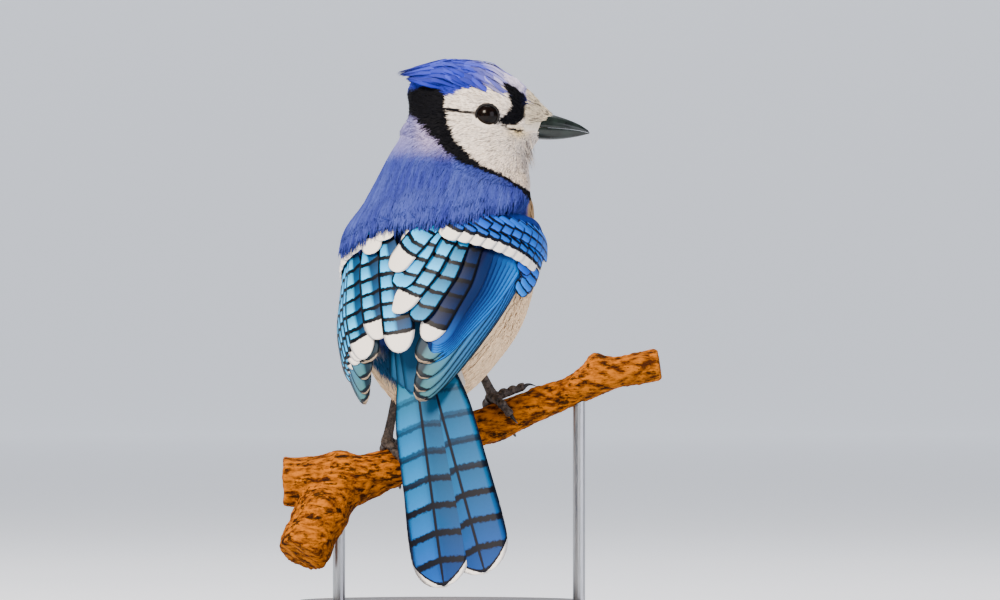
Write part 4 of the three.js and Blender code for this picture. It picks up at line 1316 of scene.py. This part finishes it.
@dataclass
class Wing:
    """A folded wing: rows of feathers laid on the hull that the two wings share."""

    side: Side
    meeting: float = -8.0
    root_out: float = 1.4
    arm_out: tuple = (0.8, 2.4)

    def angle(self, spread: np.ndarray) -> np.ndarray:
        """The hull's angle at a spread from the line where the wings meet, which lies left of the spine."""
        return np.radians(self.side.value * spread + self.meeting * (1 - spread / 90))

    def lay(self, root: np.ndarray, tip: np.ndarray, width: np.ndarray, row: VaneRow, vanes: Vanes) -> tuple:
        """Lays feathers on the hull.

        The shaft goes from root to tip in station, spread and height; a point beside it is off the
        shaft along the surface, sagging by its square and raised towards the outer edge.

        Args:
            root: Station, spread and height of each root.
            tip: The same of each tip.
            width: Widths.
            row: The row's bend, shingle and outline.
            vanes: The grid.

        Returns:
            Points, normals and distances from the tip.
        """
        u, v = vanes.shares()
        at = lerp(root[:, :1], tip[:, :1], u)
        spread = lerp(root[:, 1:2], tip[:, 1:2], u ** row.bend)
        out = lerp(root[:, 2:], tip[:, 2:], smoothstep(u, 0, 0.35))
        centre, normal = hull_point(WING_HULL, np.maximum(at, WING_HULL.ends[0]), self.angle(spread), out)
        way = unit(np.gradient(centre, axis=1))
        across = unit(np.cross(normal, way)) * self.side.value
        off = (v * vanes.half_width(u, width[:, None], row.root_share, row.tip_from)[..., None])[..., None]
        camber = 0.16 * (1 - v ** 2)[:, None]
        points = (centre[:, :, None] + across[:, :, None] * off
                  + normal[:, :, None] * (-off ** 2 / 76 + row.shingle * off + camber))
        faces_out = unit(normal[:, :, None] + across[:, :, None] * (off / 38 - row.shingle))
        step = np.linalg.norm(np.diff(centre, axis=1), axis=-1)
        walked = np.concatenate([np.zeros((len(centre), 1)), np.cumsum(step, 1)], 1)
        return points, faces_out, (walked[:, -1:] - walked)[:, :, None] + 0 * v

    def tints(self, row: VaneRow, u: np.ndarray, v: np.ndarray, share: np.ndarray,
              white: np.ndarray) -> np.ndarray:
        """Colours over a row's grid: bright on the outer web, deep on the inner one, with painted shade on
        the first feathers and at the roots, where a row asks for them.

        Args:
            row: The row's colours.
            u: Shares along the feathers.
            v: Shares across them.
            share: Each feather's place in its row.
            white: Each white tip's length in centimetres.

        Returns:
            Colours by feather, row and column.
        """
        start, end = (linear(code) for code in row.bright)
        mixed = (u ** 1.5)[:, None] if row.fades_along else share[:, None, None] * 0.5
        base = np.broadcast_to(lerp(start, end, mixed), (len(share), len(u), 3))[:, :, None]
        web = np.ones_like(v) if row.web is None else smoothstep(v, row.web - 0.15, row.web + 0.15)
        deep = (1 - web)[None, None, :, None]
        colour = lerp(base, linear(row.deep), np.broadcast_to(deep * 0.85, (len(share), len(u), len(v), 1)))
        # Painted shade: the row's first feathers are darkened to the deep colour.
        if row.painted_shade_first:
            lit = smoothstep(share, -0.05, 0.45)[:, None, None, None]
            colour = lerp(linear(row.deep) * 0.8, colour, lit)
        # Painted shade over the later feathers' roots.
        if row.painted_shade_roots:
            inner = smoothstep(u, 1.1, 0.6)[None, :, None, None] * share[:, None, None, None]
            colour = lerp(colour, linear(row.deep) * 0.6, inner * 0.9)
        alpha = np.broadcast_to(white[:, None, None, None], (*colour.shape[:3], 1))
        return np.concatenate([colour ** TINT_POWER, alpha], -1)

    def build(self) -> None:
        """Makes every row of the wing and the arm that carries them."""
        for row in COVERT_ROWS + SIDE_ROWS[self.side]:
            share = np.linspace(0, 1, row.count)
            early = row.early * np.sin(np.pi * np.minimum(1, share * 1.15))
            root = np.stack([lerp(*row.root_at, share), lerp(*row.root_spread, share),
                             np.full(row.count, self.root_out)], -1)
            tip = np.stack([lerp(*row.tip_at, share) - early, lerp(*row.tip_spread, share),
                            lerp(*row.tip_out, share)], -1)
            self.piece(row, root, tip, lerp(*row.width, share), lerp(*row.white, share))
        places = np.array(TERTIALS[self.side], float)
        self.piece(TERTIAL_ROWS[self.side], places[:, :3], places[:, 3:6], places[:, 6], places[:, 7])
        self.arm()

    def piece(self, row: VaneRow, root: np.ndarray, tip: np.ndarray, width: np.ndarray,
              white: np.ndarray) -> None:
        """Makes one row's object.

        Args:
            row: The row.
            root: Station, spread and height of each root.
            tip: The same of each tip.
            width: Widths.
            white: White tips' lengths in centimetres.
        """
        vanes = Vanes()
        u, v = vanes.shares()
        points, normals, from_tip = self.lay(root, tip, width, row, vanes)
        tints = self.tints(row, u, v, np.linspace(0, 1, len(root)), white)
        sheet = vanes.sheet(points, normals, from_tip, tints)
        made = sheet.object(f"wing_{self.side.word}_{row.name}", materials(row.finish))

    def arm(self) -> None:
        """Makes the folded arm under the coverts, a thick plate of the hull's own shape."""
        spread = np.linspace(28, 105, 30)
        u = np.linspace(0, 1, 12)[:, None]
        at = lerp(22 + 7 * smoothstep(spread, 40, 97), 7 + 9 * smoothstep(spread, 86, 105), u)
        lower, upper = (hull_point(WING_HULL, at, self.angle(spread)[None], out)[0] for out in self.arm_out)
        sheet = loft(np.concatenate([upper, lower[:, ::-1]], 1))
        sheet.tints = np.broadcast_to(np.append(linear("#0b2d80"), 0.6), (len(sheet.points), 4)).copy()
        made = sheet.object(f"wing_{self.side.word}_arm", materials(CoatFinish("down on the folded arm")))
        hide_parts(f"wing_{self.side.word}")


@dataclass
class Tail:
    """Twelve tail feathers fanned from one root, with the coverts over and under it."""

    length: float = 112.0
    root: tuple = (1.5, -31.7, 42.0)
    lean: tuple = (0.268, -0.177, -0.948)
    pairs: int = 6
    step: float = 0.85

    def feathers(self, fan: np.ndarray, length: np.ndarray, width: np.ndarray, depth: np.ndarray,
                 beside: np.ndarray, vanes: Vanes, root_share: float = 0.4) -> tuple:
        """Fans feathers from the root in the tail's own plane, each sunk by its depth, drooping at the sides.

        Args:
            fan: Angles from the tail's middle.
            length: Lengths.
            width: Widths.
            depth: Depths under the middle pair.
            beside: How far beside the middle each is rooted.
            vanes: The grid.
            root_share: The root's width as a share.

        Returns:
            Points, normals and distances from the tip.
        """
        way = unit(np.array(self.lean))
        side_way = unit(RIGHT - way * (way @ RIGHT))
        top = np.cross(way, side_way)
        u, v = vanes.shares()
        off = v * vanes.half_width(u, width[:, None], root_share, 0.88)[..., None]
        far = (length[:, None] * u)[..., None]
        sine, cosine = np.sin(fan)[:, None, None], np.cos(fan)[:, None, None]
        beside = beside[:, None, None] + sine * far + cosine * off
        down = cosine * far - sine * off
        shingle = 0.05 * off * np.sign(fan)[:, None, None]
        sink = -depth[:, None, None] - 0.006 * beside ** 2 + 0.2 * (1 - v ** 2) + shingle
        points = (np.array(self.root) + way * down[..., None] + side_way * beside[..., None]
                  + top * sink[..., None])
        return points, np.broadcast_to(top, points.shape), length[:, None, None] - far + 0 * off

    def build(self) -> None:
        """Makes the tail feathers and the coverts."""
        vanes = Vanes(rows=30, columns=10)
        u, v = vanes.shares()
        k = np.repeat(np.arange(self.pairs), 2)
        side = np.tile([-1.0, 1.0], self.pairs)
        right = side > 0
        fan = np.radians(np.where(right, 5.2 + 0.15 * k, -2.6 - 0.66 * k))
        length = self.length - 0.5 * k ** 2 - np.where(right, 0.7, 0)
        depth = k * self.step + np.where(right, 0.42, 0)
        points, normals, from_tip = self.feathers(fan, length, 25 - 0.8 * k, depth, side * 1.4, vanes)
        start, end, light = linear("#357f8c"), linear("#0846b8"), linear("#0e80c4")
        base = lerp(start, light, smoothstep(u, 0.05, 0.5)[:, None])
        base = lerp(base, end, (0.75 * smoothstep(u, 0.55, 1.0))[:, None])
        # Painted light and shade: the right-hand feathers, which lie under the left ones, are darkened to
        # half, and each left one darkens from its outer web to its inner web, which lies under its neighbour.
        glow = np.where(right[:, None], 0.5, lerp(0.85, 0.38, smoothstep(v, -0.3, 0.1)))
        colour = base[None, :, None] * glow[:, None, :, None]
        white = 0.05 + 0.07 * k
        alpha = np.broadcast_to(white[:, None, None, None], (*colour.shape[:3], 1))
        sheet = vanes.sheet(points, normals, from_tip, np.concatenate([colour, alpha], -1))
        tail = sheet.object("tail_feathers", materials(TAIL_FINISH))
        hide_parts("tail")
        self.coverts()

    def coverts(self) -> None:
        """Short soft feathers that cover the tail's root above and below."""
        vanes = Vanes(rows=12, columns=6)
        place = np.tile(np.linspace(-1, 1, 6), 2)
        over = np.repeat([True, False], 6)
        length = np.where(over, 34, 44) - 8 * np.abs(place)
        depth = np.where(over, -1.2 - 0.3 * (1 - np.abs(place)), self.pairs * self.step + 0.9)
        fan, width = np.radians(place * 9 + 0.01), np.full(12, 12.0)
        points, normals, from_tip = self.feathers(fan, length, width, depth, place * 4, vanes, 0.8)
        colour = np.where(over[:, None], linear("#15496e"), linear("#e4dccf"))[:, None, None]
        colour = np.broadcast_to(colour, (*points.shape[:3], 3))
        alpha = np.zeros((*points.shape[:3], 1))
        sheet = vanes.sheet(points, normals, from_tip, np.concatenate([colour, alpha], -1))
        sheet.object("tail_coverts", materials(CREST_FINISH))


@dataclass
class Crest:
    """Long crown feathers laid back to a ragged point."""

    count: int = 360
    crown_end: float = -20.0

    def build(self) -> None:
        """Lays each feather from a root on the crown back past the nape, drawn in towards the middle.

        A feather follows the head's sections back to the crown's end and then a straight slope, over
        the skin by a rise that grows to its lift.
        """
        draw = np.random.default_rng(SEED + 1)
        vanes = Vanes(rows=8, columns=4, thickness=0.22)
        u, v = vanes.shares()
        start = draw.uniform(self.crown_end, 10, self.count)
        spread = np.radians(draw.uniform(-60, 60, self.count))
        reach = start - draw.uniform(12, 22, self.count)
        reach = np.maximum(reach, -38.5 + 5 * np.abs(spread) + draw.uniform(0, 2, self.count))
        lift = draw.uniform(0.5, 1.6, self.count) + smoothstep(start, 2, -12) * 0.9
        at = lerp(start[:, None], reach[:, None], u)
        angle = spread[:, None] * lerp(1, 0.45, u * u)
        near, normal = head_point(np.maximum(at, self.crown_end), angle)
        back = np.minimum(0, at - self.crown_end)[..., None]
        rise = lerp(-0.6, lift[:, None], smoothstep(u, 0, 0.5))[..., None]
        droop = back * 0.34 - np.abs(spread)[:, None, None] * (u ** 2)[:, None] * 2
        centre = near + HEAD_AHEAD * back + HEAD_UP * droop + normal * rise
        across = unit(np.cross(normal, HEAD_AHEAD))
        width = draw.uniform(1.8, 3.2, self.count)
        off = (v * vanes.half_width(u, width[:, None], 0.7, 0.35)[..., None])[..., None]
        points = centre[:, :, None] + across[:, :, None] * off - normal[:, :, None] * off ** 2 * 0.04
        normals = np.broadcast_to(normal[:, :, None], points.shape)
        length = np.linalg.norm(centre[:, -1] - centre[:, 0], axis=-1)
        from_tip = (length[:, None] * (1 - u))[:, :, None] + 0 * v
        plumage = Plumage()
        shade = draw.uniform(0.7, 1.25, self.count)[:, None, None, None]
        mixed = lerp(linear(plumage.crown), linear(plumage.crown_light), draw.random((self.count, 1)) * 0.35)
        colour = np.broadcast_to(mixed[:, None, None], points.shape)
        pale = smoothstep(start, 0, 9)[:, None, None, None] * draw.random((self.count, 1, 1, 1))
        pale = pale * smoothstep(u, 0.9, 0.2)[None, :, None, None]
        colour = lerp(colour, linear(plumage.forehead), pale * 0.8) * shade
        colour = colour * lerp(1, 0.35, smoothstep(at, -27, -36))[..., None, None]
        alpha = np.zeros((*points.shape[:3], 1))
        sheet = vanes.sheet(points, normals, from_tip, np.concatenate([colour, alpha], -1))
        sheet.object("crest", materials(CREST_FINISH))


@dataclass
class Face:
    """Bill, eyes, lids, and the bristles round the bill."""

    eye_radius: float = 5.1
    eye_inset: float = 2.9
    lid_radius: float = 4.55
    closed_at: float = -5.0
    bristle_count: int = 1700
    hair_count: int = 700
    # The bill's keratin sheath: near black and smooth, with a soft gloss.
    horn: HardFinish = HardFinish("dark horn", "#070b0b", "#1b2622", 6.0, (1, 1, 1), (0.22, 0.38), 0.03,
                                  coat=0.25)
    # Bare skin round the eye: near black, dull and finely wrinkled.
    lid: HardFinish = HardFinish("bare dark lid", "#050405", "#171415", 0.8, (1, 1, 1), (0.5, 0.7), 0.05)

    def bill_half(self, upper: bool) -> Sheet:
        """Half the bill: from the gape's line an arch of sine and cosine powers to the culmen or the keel.

        Args:
            upper: Whether it is the upper half.

        Returns:
            The closed form.
        """
        at = np.linspace(*BILL.ends, 40)
        at = np.append(at, [BILL.ends[1] + 0.6, BILL.ends[1] + (1.0 if upper else 0.7)])
        half, gape = BILL.size("half", at), BILL.size("gape", at)
        far = BILL.size("top" if upper else "bottom", at)
        taper = np.ones_like(at)
        taper[-2:] = 0.55, 0.08
        turn = np.linspace(-np.pi / 2, np.pi / 2, 29)
        wide = np.sign(turn) * np.abs(np.sin(turn)) ** 0.85
        tall = np.maximum(np.cos(turn), 0) ** 0.8
        edge = gape + (0.08 if upper else -0.08)
        roll = np.where(np.abs(np.sin(turn)) > 0.9, 0.12, 0.0)
        side = (half * taper)[:, None] * (wide + roll * np.sign(turn) * 0.3)
        edge, far = lerp(self.closed_at, edge, taper), lerp(self.closed_at, far, taper)
        height = lerp(edge[:, None], far[:, None], tall)
        return loft(in_head(at[:, None] + 0 * turn, side, height))

    def eye_centre(self, side: Side) -> np.ndarray:
        """Where an eyeball's middle lies, inset from the cheek's surface."""
        return in_head(0, side.value * (float(SKULL.size("half", 0.0)) - self.eye_inset), 0)

    def eyeball(self, side: Side) -> Sheet:
        """A sphere with a bulging clear front: its radius grows a little towards the pupil.

        Args:
            side: Which eye.

        Returns:
            The closed form.
        """
        turn = np.linspace(0, 2 * np.pi, 48, endpoint=False)
        fall = np.linspace(0.02, np.pi - 0.02, 32)[:, None]
        radius = self.eye_radius + 0.18 * np.exp(-(fall / 0.7) ** 2)
        out = np.cos(fall) * radius * side.value + 0 * turn
        return loft(self.eye_centre(side) + HEAD_RIGHT * out[..., None]
                    + HEAD_AHEAD * (np.sin(fall) * radius * np.cos(turn))[..., None]
                    + HEAD_UP * (np.sin(fall) * radius * np.sin(turn))[..., None])

    def eyelid(self, side: Side) -> Sheet:
        """A ring round the eye: a small circle swept round an oval, thicker above, with fine wrinkles.

        Args:
            side: Which eye.

        Returns:
            The closed ring.
        """
        steps, sides = 72, 12
        turn = np.linspace(0, 2 * np.pi, steps, endpoint=False)[:, None]
        small = np.linspace(0, 2 * np.pi, sides, endpoint=False)[None]
        thick = 0.5 + 0.12 * np.sin(turn) + 0.05 * np.sin(turn * 17)
        ring = self.lid_radius + thick * np.cos(small)
        out = (2.75 + thick * np.sin(small)) * side.value
        points = (self.eye_centre(side) + HEAD_RIGHT * out[..., None]
                  + HEAD_AHEAD * (ring * np.cos(turn))[..., None]
                  + HEAD_UP * (ring * np.sin(turn) * 0.97)[..., None]).reshape(-1, 3)
        i, j = np.meshgrid(np.arange(steps), np.arange(sides), indexing="ij")
        start, end, after = i * sides, (i + 1) % steps * sides, (j + 1) % sides
        quads = np.stack([start + j, start + after, end + after, end + j], -1).reshape(-1, 4)
        return Sheet(points, outward(points, [quads]), {})

    def build(self) -> None:
        """Makes the bill's halves, the eyes and lids, and the bristles."""
        for name, upper in (("bill_upper", True), ("bill_lower", False)):
            made = self.bill_half(upper).object(name + "_horn", materials(self.horn))
            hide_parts(name)
        for side in Side:
            ball = self.eyeball(side).object(f"eyeball_{side.word}", materials(EyeFinish()))
            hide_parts(f"eye_{side.word}")
            lid = self.eyelid(side).object(f"eyelid_{side.word}", materials(self.lid))
        self.bristles()

    def bristles(self) -> None:
        """Stiff pale bristles that lie forward over the bill's root, and dark hairs under the chin."""
        draw = np.random.default_rng(SEED + 2)
        coat = Coat()
        count = self.bristle_count
        at = draw.uniform(14.5, 24, count)
        angle = np.radians(draw.choice([-1, 1], count) * draw.uniform(8, 92, count))
        spot, normal = head_point(at, angle, -0.4)
        flow = unit(unit(head_point(at + 1.5, angle, -0.4)[0] - spot) + draw.normal(0, 0.1, (count, 3)))
        normal = unit(normal - flow * np.sum(flow * normal, -1, keepdims=True))
        length = np.minimum(draw.uniform(2.5, 5.5, count), 27 - at)
        tint = lerp(linear("#efe2c8"), linear("#2c2622"), draw.random((count, 1)) ** 3)
        finish = materials(CoatFinish("stiff bristles", roughness=0.6))
        width = draw.uniform(0.22, 0.42, count)
        made = coat.tufts(spot, normal, flow, length, width, 0.3, tint, 12).object("nasal_bristles", finish)
        count = self.hair_count
        at = draw.uniform(6, 18, count)
        angle = np.radians(draw.choice([-1, 1], count) * draw.uniform(118, 180, count))
        spot, normal = head_point(at, angle, -0.3)
        flow = -HEAD_UP * 0.9 + HEAD_AHEAD * draw.normal(0.15, 0.28, count)[:, None]
        flow = flow + draw.normal(0, 0.12, (count, 3))
        flow = unit(flow + normal * draw.uniform(0.0, 0.3, count)[:, None])
        tint = lerp(linear("#efe2d2"), linear("#3a3230"), (draw.random((count, 1)) < 0.35) * 1.0)
        length, width = draw.uniform(3.5, 8, count), draw.uniform(0.12, 0.3, count)
        made = coat.tufts(spot, normal, flow, length, width, 0.6, tint, 90).object("chin_hairs", finish)


@dataclass(frozen=True)
class Foot:
    """One foot's place on the branch, and where its leg leads."""

    side: Side
    at: float
    ankle: tuple


@dataclass
class Legs:
    """Scaly legs and toes over the bark, with claws."""

    feet: tuple = (Foot(Side.RIGHT, 21.5, (13, -7, 33)), Foot(Side.LEFT, -20.8, (-13, -10, 22)))
    toe_radius: float = 1.8
    claw_from: float = 0.7
    # The leg's radii at shares of its length from the foot.
    leg_share: tuple = (0, 0.1, 0.3, 0.7, 1)
    leg_radius: tuple = (2.5, 2.0, 1.75, 1.7, 2.2)
    # Horny scales over legs and toes: dark and dull, in low relief.
    scale: HardFinish = HardFinish("dark scaly skin", "#100c0a", "#5c5048", 1.2, (1, 1, 1), (0.45, 0.7), 0.25)
    # Claws of solid horn: black, with a soft gloss.
    claw: HardFinish = HardFinish("black claw horn", "#070606", "#23201e", 3.0, (1, 1, 1), (0.25, 0.4), 0.02)

    def toe(self, at: float, start: float, end: float, along: float) -> tuple:
        """A toe and its claw: a tube over the bark whose radius swells at each pad, then an arched taper.

        Args:
            at: The foot's place along the branch.
            start: The toe's first angle over the bark, in degrees.
            end: Its last.
            along: How far it goes along the branch.

        Returns:
            The toe's sheet and the claw's.
        """
        u = np.linspace(0, self.claw_from + 0.02, 60)
        pads = 1 + 0.12 * np.cos(u * np.pi * 9) + 0.05 * np.abs(np.sin(u * 110))
        radius = self.toe_radius * lerp(1.08, 0.84, u / self.claw_from) * pads
        toe = tube(bark_point(at + along * u, np.radians(lerp(start, end, u)), radius + 0.4), radius, 16)
        u = np.linspace(self.claw_from - 0.02, 1, 24)
        share = np.clip((u - self.claw_from) / (1 - self.claw_from), 0, 1)
        radius = lerp(1.15, 0.12, share ** 0.8)
        height = radius + 0.6 + 1.1 * np.sin(share * np.pi)
        claw = tube(bark_point(at + along * u, np.radians(lerp(start, end, u)), height), radius, 12)
        return toe, claw

    def build(self) -> None:
        """Makes each foot with its claws and its leg."""
        for foot in self.feet:
            side = foot.side.value
            # Each toe's start along the branch, its first and last angle over it, and its reach along it.
            plan = [(foot.at, 8, 172, 2 * side), (foot.at - side, 4, 138, -9 * side),
                    (foot.at, -6, -118, 4.5),
                    (foot.at + 0.5, -4, 14, 15.5) if side > 0 else (foot.at - 0.5, 4, 140, -8)]
            toes, claws = zip(*(self.toe(*p) for p in plan))
            sole = bark_point(foot.at, 0.0, 3.1)
            share = np.linspace(0, 1, 60)
            path = lerp(sole, np.array(foot.ankle, float), share[:, None])
            rings = 1 + 0.05 * np.abs(np.sin(share * 70))
            radius = np.interp(share, self.leg_share, self.leg_radius) * rings
            shank = tube(path, radius, 16, 0.85)
            knuckle = tube(lerp(sole - UP * 1.6, sole + UP * 1.4, np.linspace(0, 1, 12)[:, None]),
                           2.5 * np.sin(np.linspace(0.25, np.pi - 0.25, 12)) ** 0.5, 16)
            made = joined([*toes, knuckle]).object(f"foot_{foot.side.word}_skin", materials(self.scale))
            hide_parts(f"foot_{foot.side.word}")
            made = shank.object(f"tarsus_{foot.side.word}_skin", materials(self.scale))
            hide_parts(f"tarsus_{foot.side.word}")
            made = joined(list(claws)).object(f"claws_{foot.side.word}", materials(self.claw))


@dataclass
class Perch:
    """The cut length of branch with its knot and side limb, in rough bark, with cut ends."""

    # Dry bark: quite dull, golden ridges with dark furrows along the branch.
    bark: HardFinish = HardFinish("golden brown bark", "#3c1903", "#b8680a", 1.9, (0.34, 1, 1), (0.8, 0.95),
                                  1.2, specks="#140902", speck_from=0.53, specular=0.08, turned=TURN,
                                  contrast=(0.38, 0.6))

    def build(self) -> None:
        """Melts the two limbs into one, then displaces the bark by noise of several sizes."""
        turn = np.linspace(0, 2 * np.pi, 48, endpoint=False)[None]
        limb = loft(bark_point(np.linspace(*BRANCH.ends, 120)[:, None], turn))
        share = np.linspace(0, 1, 40)
        along, depth, height = (FORK.size(name, share)[:, None] for name in ("along", "depth", "height"))
        centre = FEET_MIDDLE + PERCH_WAY * along + PERCH_AHEAD * depth + UP * height
        stub = tube(centre, FORK.size("radius", share) * (1 + 0.04 * np.sin(share * 17)), 48)
        points, quads = fused("branch", joined([limb, stub]), 0.85, 3)
        quads = outward(points, [quads])[0]
        normals = vertex_normals(points, quads)
        relief = (0.55 * rough_noise(points, 7, 4, 31)
                  + 0.4 * np.abs(rough_noise(points * [1, 1, 0.6], 2.2, 3, 41))
                  - 0.5 * smoothstep(value_noise(points, 4.5, 51), 0.55, 0.8))
        rough = Sheet(points + normals * relief[:, None], [quads], {})
        made = rough.object("perch_bark", materials(self.bark))
        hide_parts("perch")


@dataclass
class Stand:
    """The turned base and the two rods."""

    # Turned and oiled hardwood: dark, with a satin gloss.
    wood: HardFinish = HardFinish("dark turned wood", "#2c1c12", "#6a4a30", 14.0, (1, 12, 1), (0.35, 0.5),
                                  0.05, coat=0.2)
    # Steel rod brushed along its length: highlights drawn out into soft lines.
    steel: HardFinish = HardFinish("brushed steel", "#a4a7ab", "#c4c7ca", 2.0, (8, 8, 0.3), (0.25, 0.4),
                                   0.01, metal=1.0)

    def build(self) -> None:
        """Gives the base and the rods their finishes on the solids' own meshes."""
        for name in ("stand_base", "stand_rod_left", "stand_rod_right"):
            finish = self.wood if name == "stand_base" else self.steel
            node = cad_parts[name]
            for slot in node.material_slots:
                slot.material = materials(finish)
            if not node.material_slots:
                node.data.materials.append(materials(finish))
            LOG.info("%s: dressed", name)


@dataclass
class Studio:
    """Pale sweep, soft lights and the camera."""

    # Seamless paper: even and quite dull.
    floor: HardFinish = HardFinish("pale studio sweep", "#c9cdd6", "#ced2da", 400.0, (1, 1, 1), (0.9, 0.95),
                                   0.0, glow=1.0)
    distance: float = 5.0
    mm_per_pixel: float = 0.4
    image: tuple = (1000, 600)
    feet_pixel: tuple = (449, 420)
    sensor_mm: float = 36.0
    wall_mm: float = 7000.0
    bend_mm: float = 600.0
    half_width_mm: float = 9000.0

    def build(self) -> None:
        """Sets the sweep, the lights and the camera.

        The sweep is a level floor behind and before the bird, a quarter circle up and a plane wall.
        """
        # The camera looks square at the head's right side, with the branch across the picture.
        toward, across = HEAD_RIGHT, PERCH_WAY
        run = np.linspace(0, 1, 80)
        bend = np.clip((run - 0.45) / 0.3, 0, 1) * np.pi / 2
        flat = lerp(-self.wall_mm, self.wall_mm, run / 0.45)
        back = np.where(run < 0.45, flat, self.wall_mm + self.bend_mm * np.sin(bend))[:, None, None]
        high = (self.bend_mm * (1 - np.cos(bend)) + np.maximum(0, run - 0.75) * 9000)[:, None, None]
        wide = np.array([-self.half_width_mm, self.half_width_mm])[None, :, None]
        points = across * wide - toward * back + UP * (high - FEET_HEIGHT)
        i = np.arange(len(run) - 1)
        quads = np.stack([i * 2, i * 2 + 1, i * 2 + 3, i * 2 + 2], -1)
        ground = Sheet(points.reshape(-1, 3), [quads], {})
        sweep = ground.object("studio_sweep", materials(self.floor), body=False)
        self.camera(toward, across)
        key = -across * 0.9 + toward * 1.3 + UP * 1.3
        self.light("key", key, 0.7, 98, "#ffeeda")
        self.light("fill", across * 1.3 + toward * 1.2 + UP * 0.5, 1.2, 15, "#f2f0ff")
        self.light("top", UP * 1.6 - toward * 0.6, 0.9, 22, "#ffffff")
        world = bpy.data.worlds.new("studio air")
        world.use_nodes = True
        world.node_tree.nodes["Background"].inputs[0].default_value = rgba("#c8d0e0")
        world.node_tree.nodes["Background"].inputs[1].default_value = 0.3
        bpy.context.scene.world = world

    def light(self, name: str, place: np.ndarray, size: float, power: float, colour: str) -> None:
        """Hangs a square soft light that faces the bird.

        Args:
            name: Its name.
            place: Metres from the bird's middle.
            size: Its side in metres.
            power: Watts.
            colour: Its colour.
        """
        lamp = bpy.data.lights.new(name, "AREA")
        lamp.size = size
        lamp.energy = power
        lamp.color = linear(colour)
        made = bpy.data.objects.new(name, lamp)
        bpy.context.scene.collection.objects.link(made)
        self.aim(made, place + np.array([0, 0, 0.15]), -place)

    @staticmethod
    def aim(thing: bpy.types.Object, place: np.ndarray, way: np.ndarray) -> None:
        """Places a light or camera and points it along a way, with its top up.

        Args:
            thing: The light or camera.
            place: Where it goes, in metres.
            way: Where it points.
        """
        back = -unit(way)
        side = unit(np.cross(UP, back))
        over = np.cross(back, side)
        matrix = np.eye(4)
        matrix[:3, 0], matrix[:3, 1], matrix[:3, 2], matrix[:3, 3] = side, over, back, place
        thing.matrix_world = Matrix(matrix)

    def camera(self, toward: np.ndarray, across: np.ndarray) -> None:
        """The camera behind the bird, level, far off, with the picture's framing from the feet's pixel.

        Args:
            toward: The way from the bird to the camera.
            across: The picture's way to the right.
        """
        right_mm = (self.image[0] / 2 - self.feet_pixel[0]) * self.mm_per_pixel
        up_mm = FEET_HEIGHT + (self.feet_pixel[1] - self.image[1] / 2) * self.mm_per_pixel
        target = (FEET_MIDDLE + across * right_mm + UP * up_mm) / 1000
        lens = bpy.data.cameras.new("camera")
        lens.sensor_width = self.sensor_mm
        lens.lens = self.sensor_mm * self.distance / (self.image[0] * self.mm_per_pixel / 1000)
        lens.clip_end = 30
        made = bpy.data.objects.new("camera", lens)
        bpy.context.scene.collection.objects.link(made)
        self.aim(made, target + toward * self.distance, -toward)
        bpy.context.scene.camera = made


def main() -> None:
    """Builds the sub-assemblies in order."""
    logging.basicConfig(level=logging.INFO, format="%(name)s: %(message)s")
    Studio().build()
    Coat().build()
    Crest().build()
    Face().build()
    for side in Side:
        Wing(side).build()
    Tail().build()
    Legs().build()
    Perch().build()
    Stand().build()


if __name__ == "__main__":
    main()
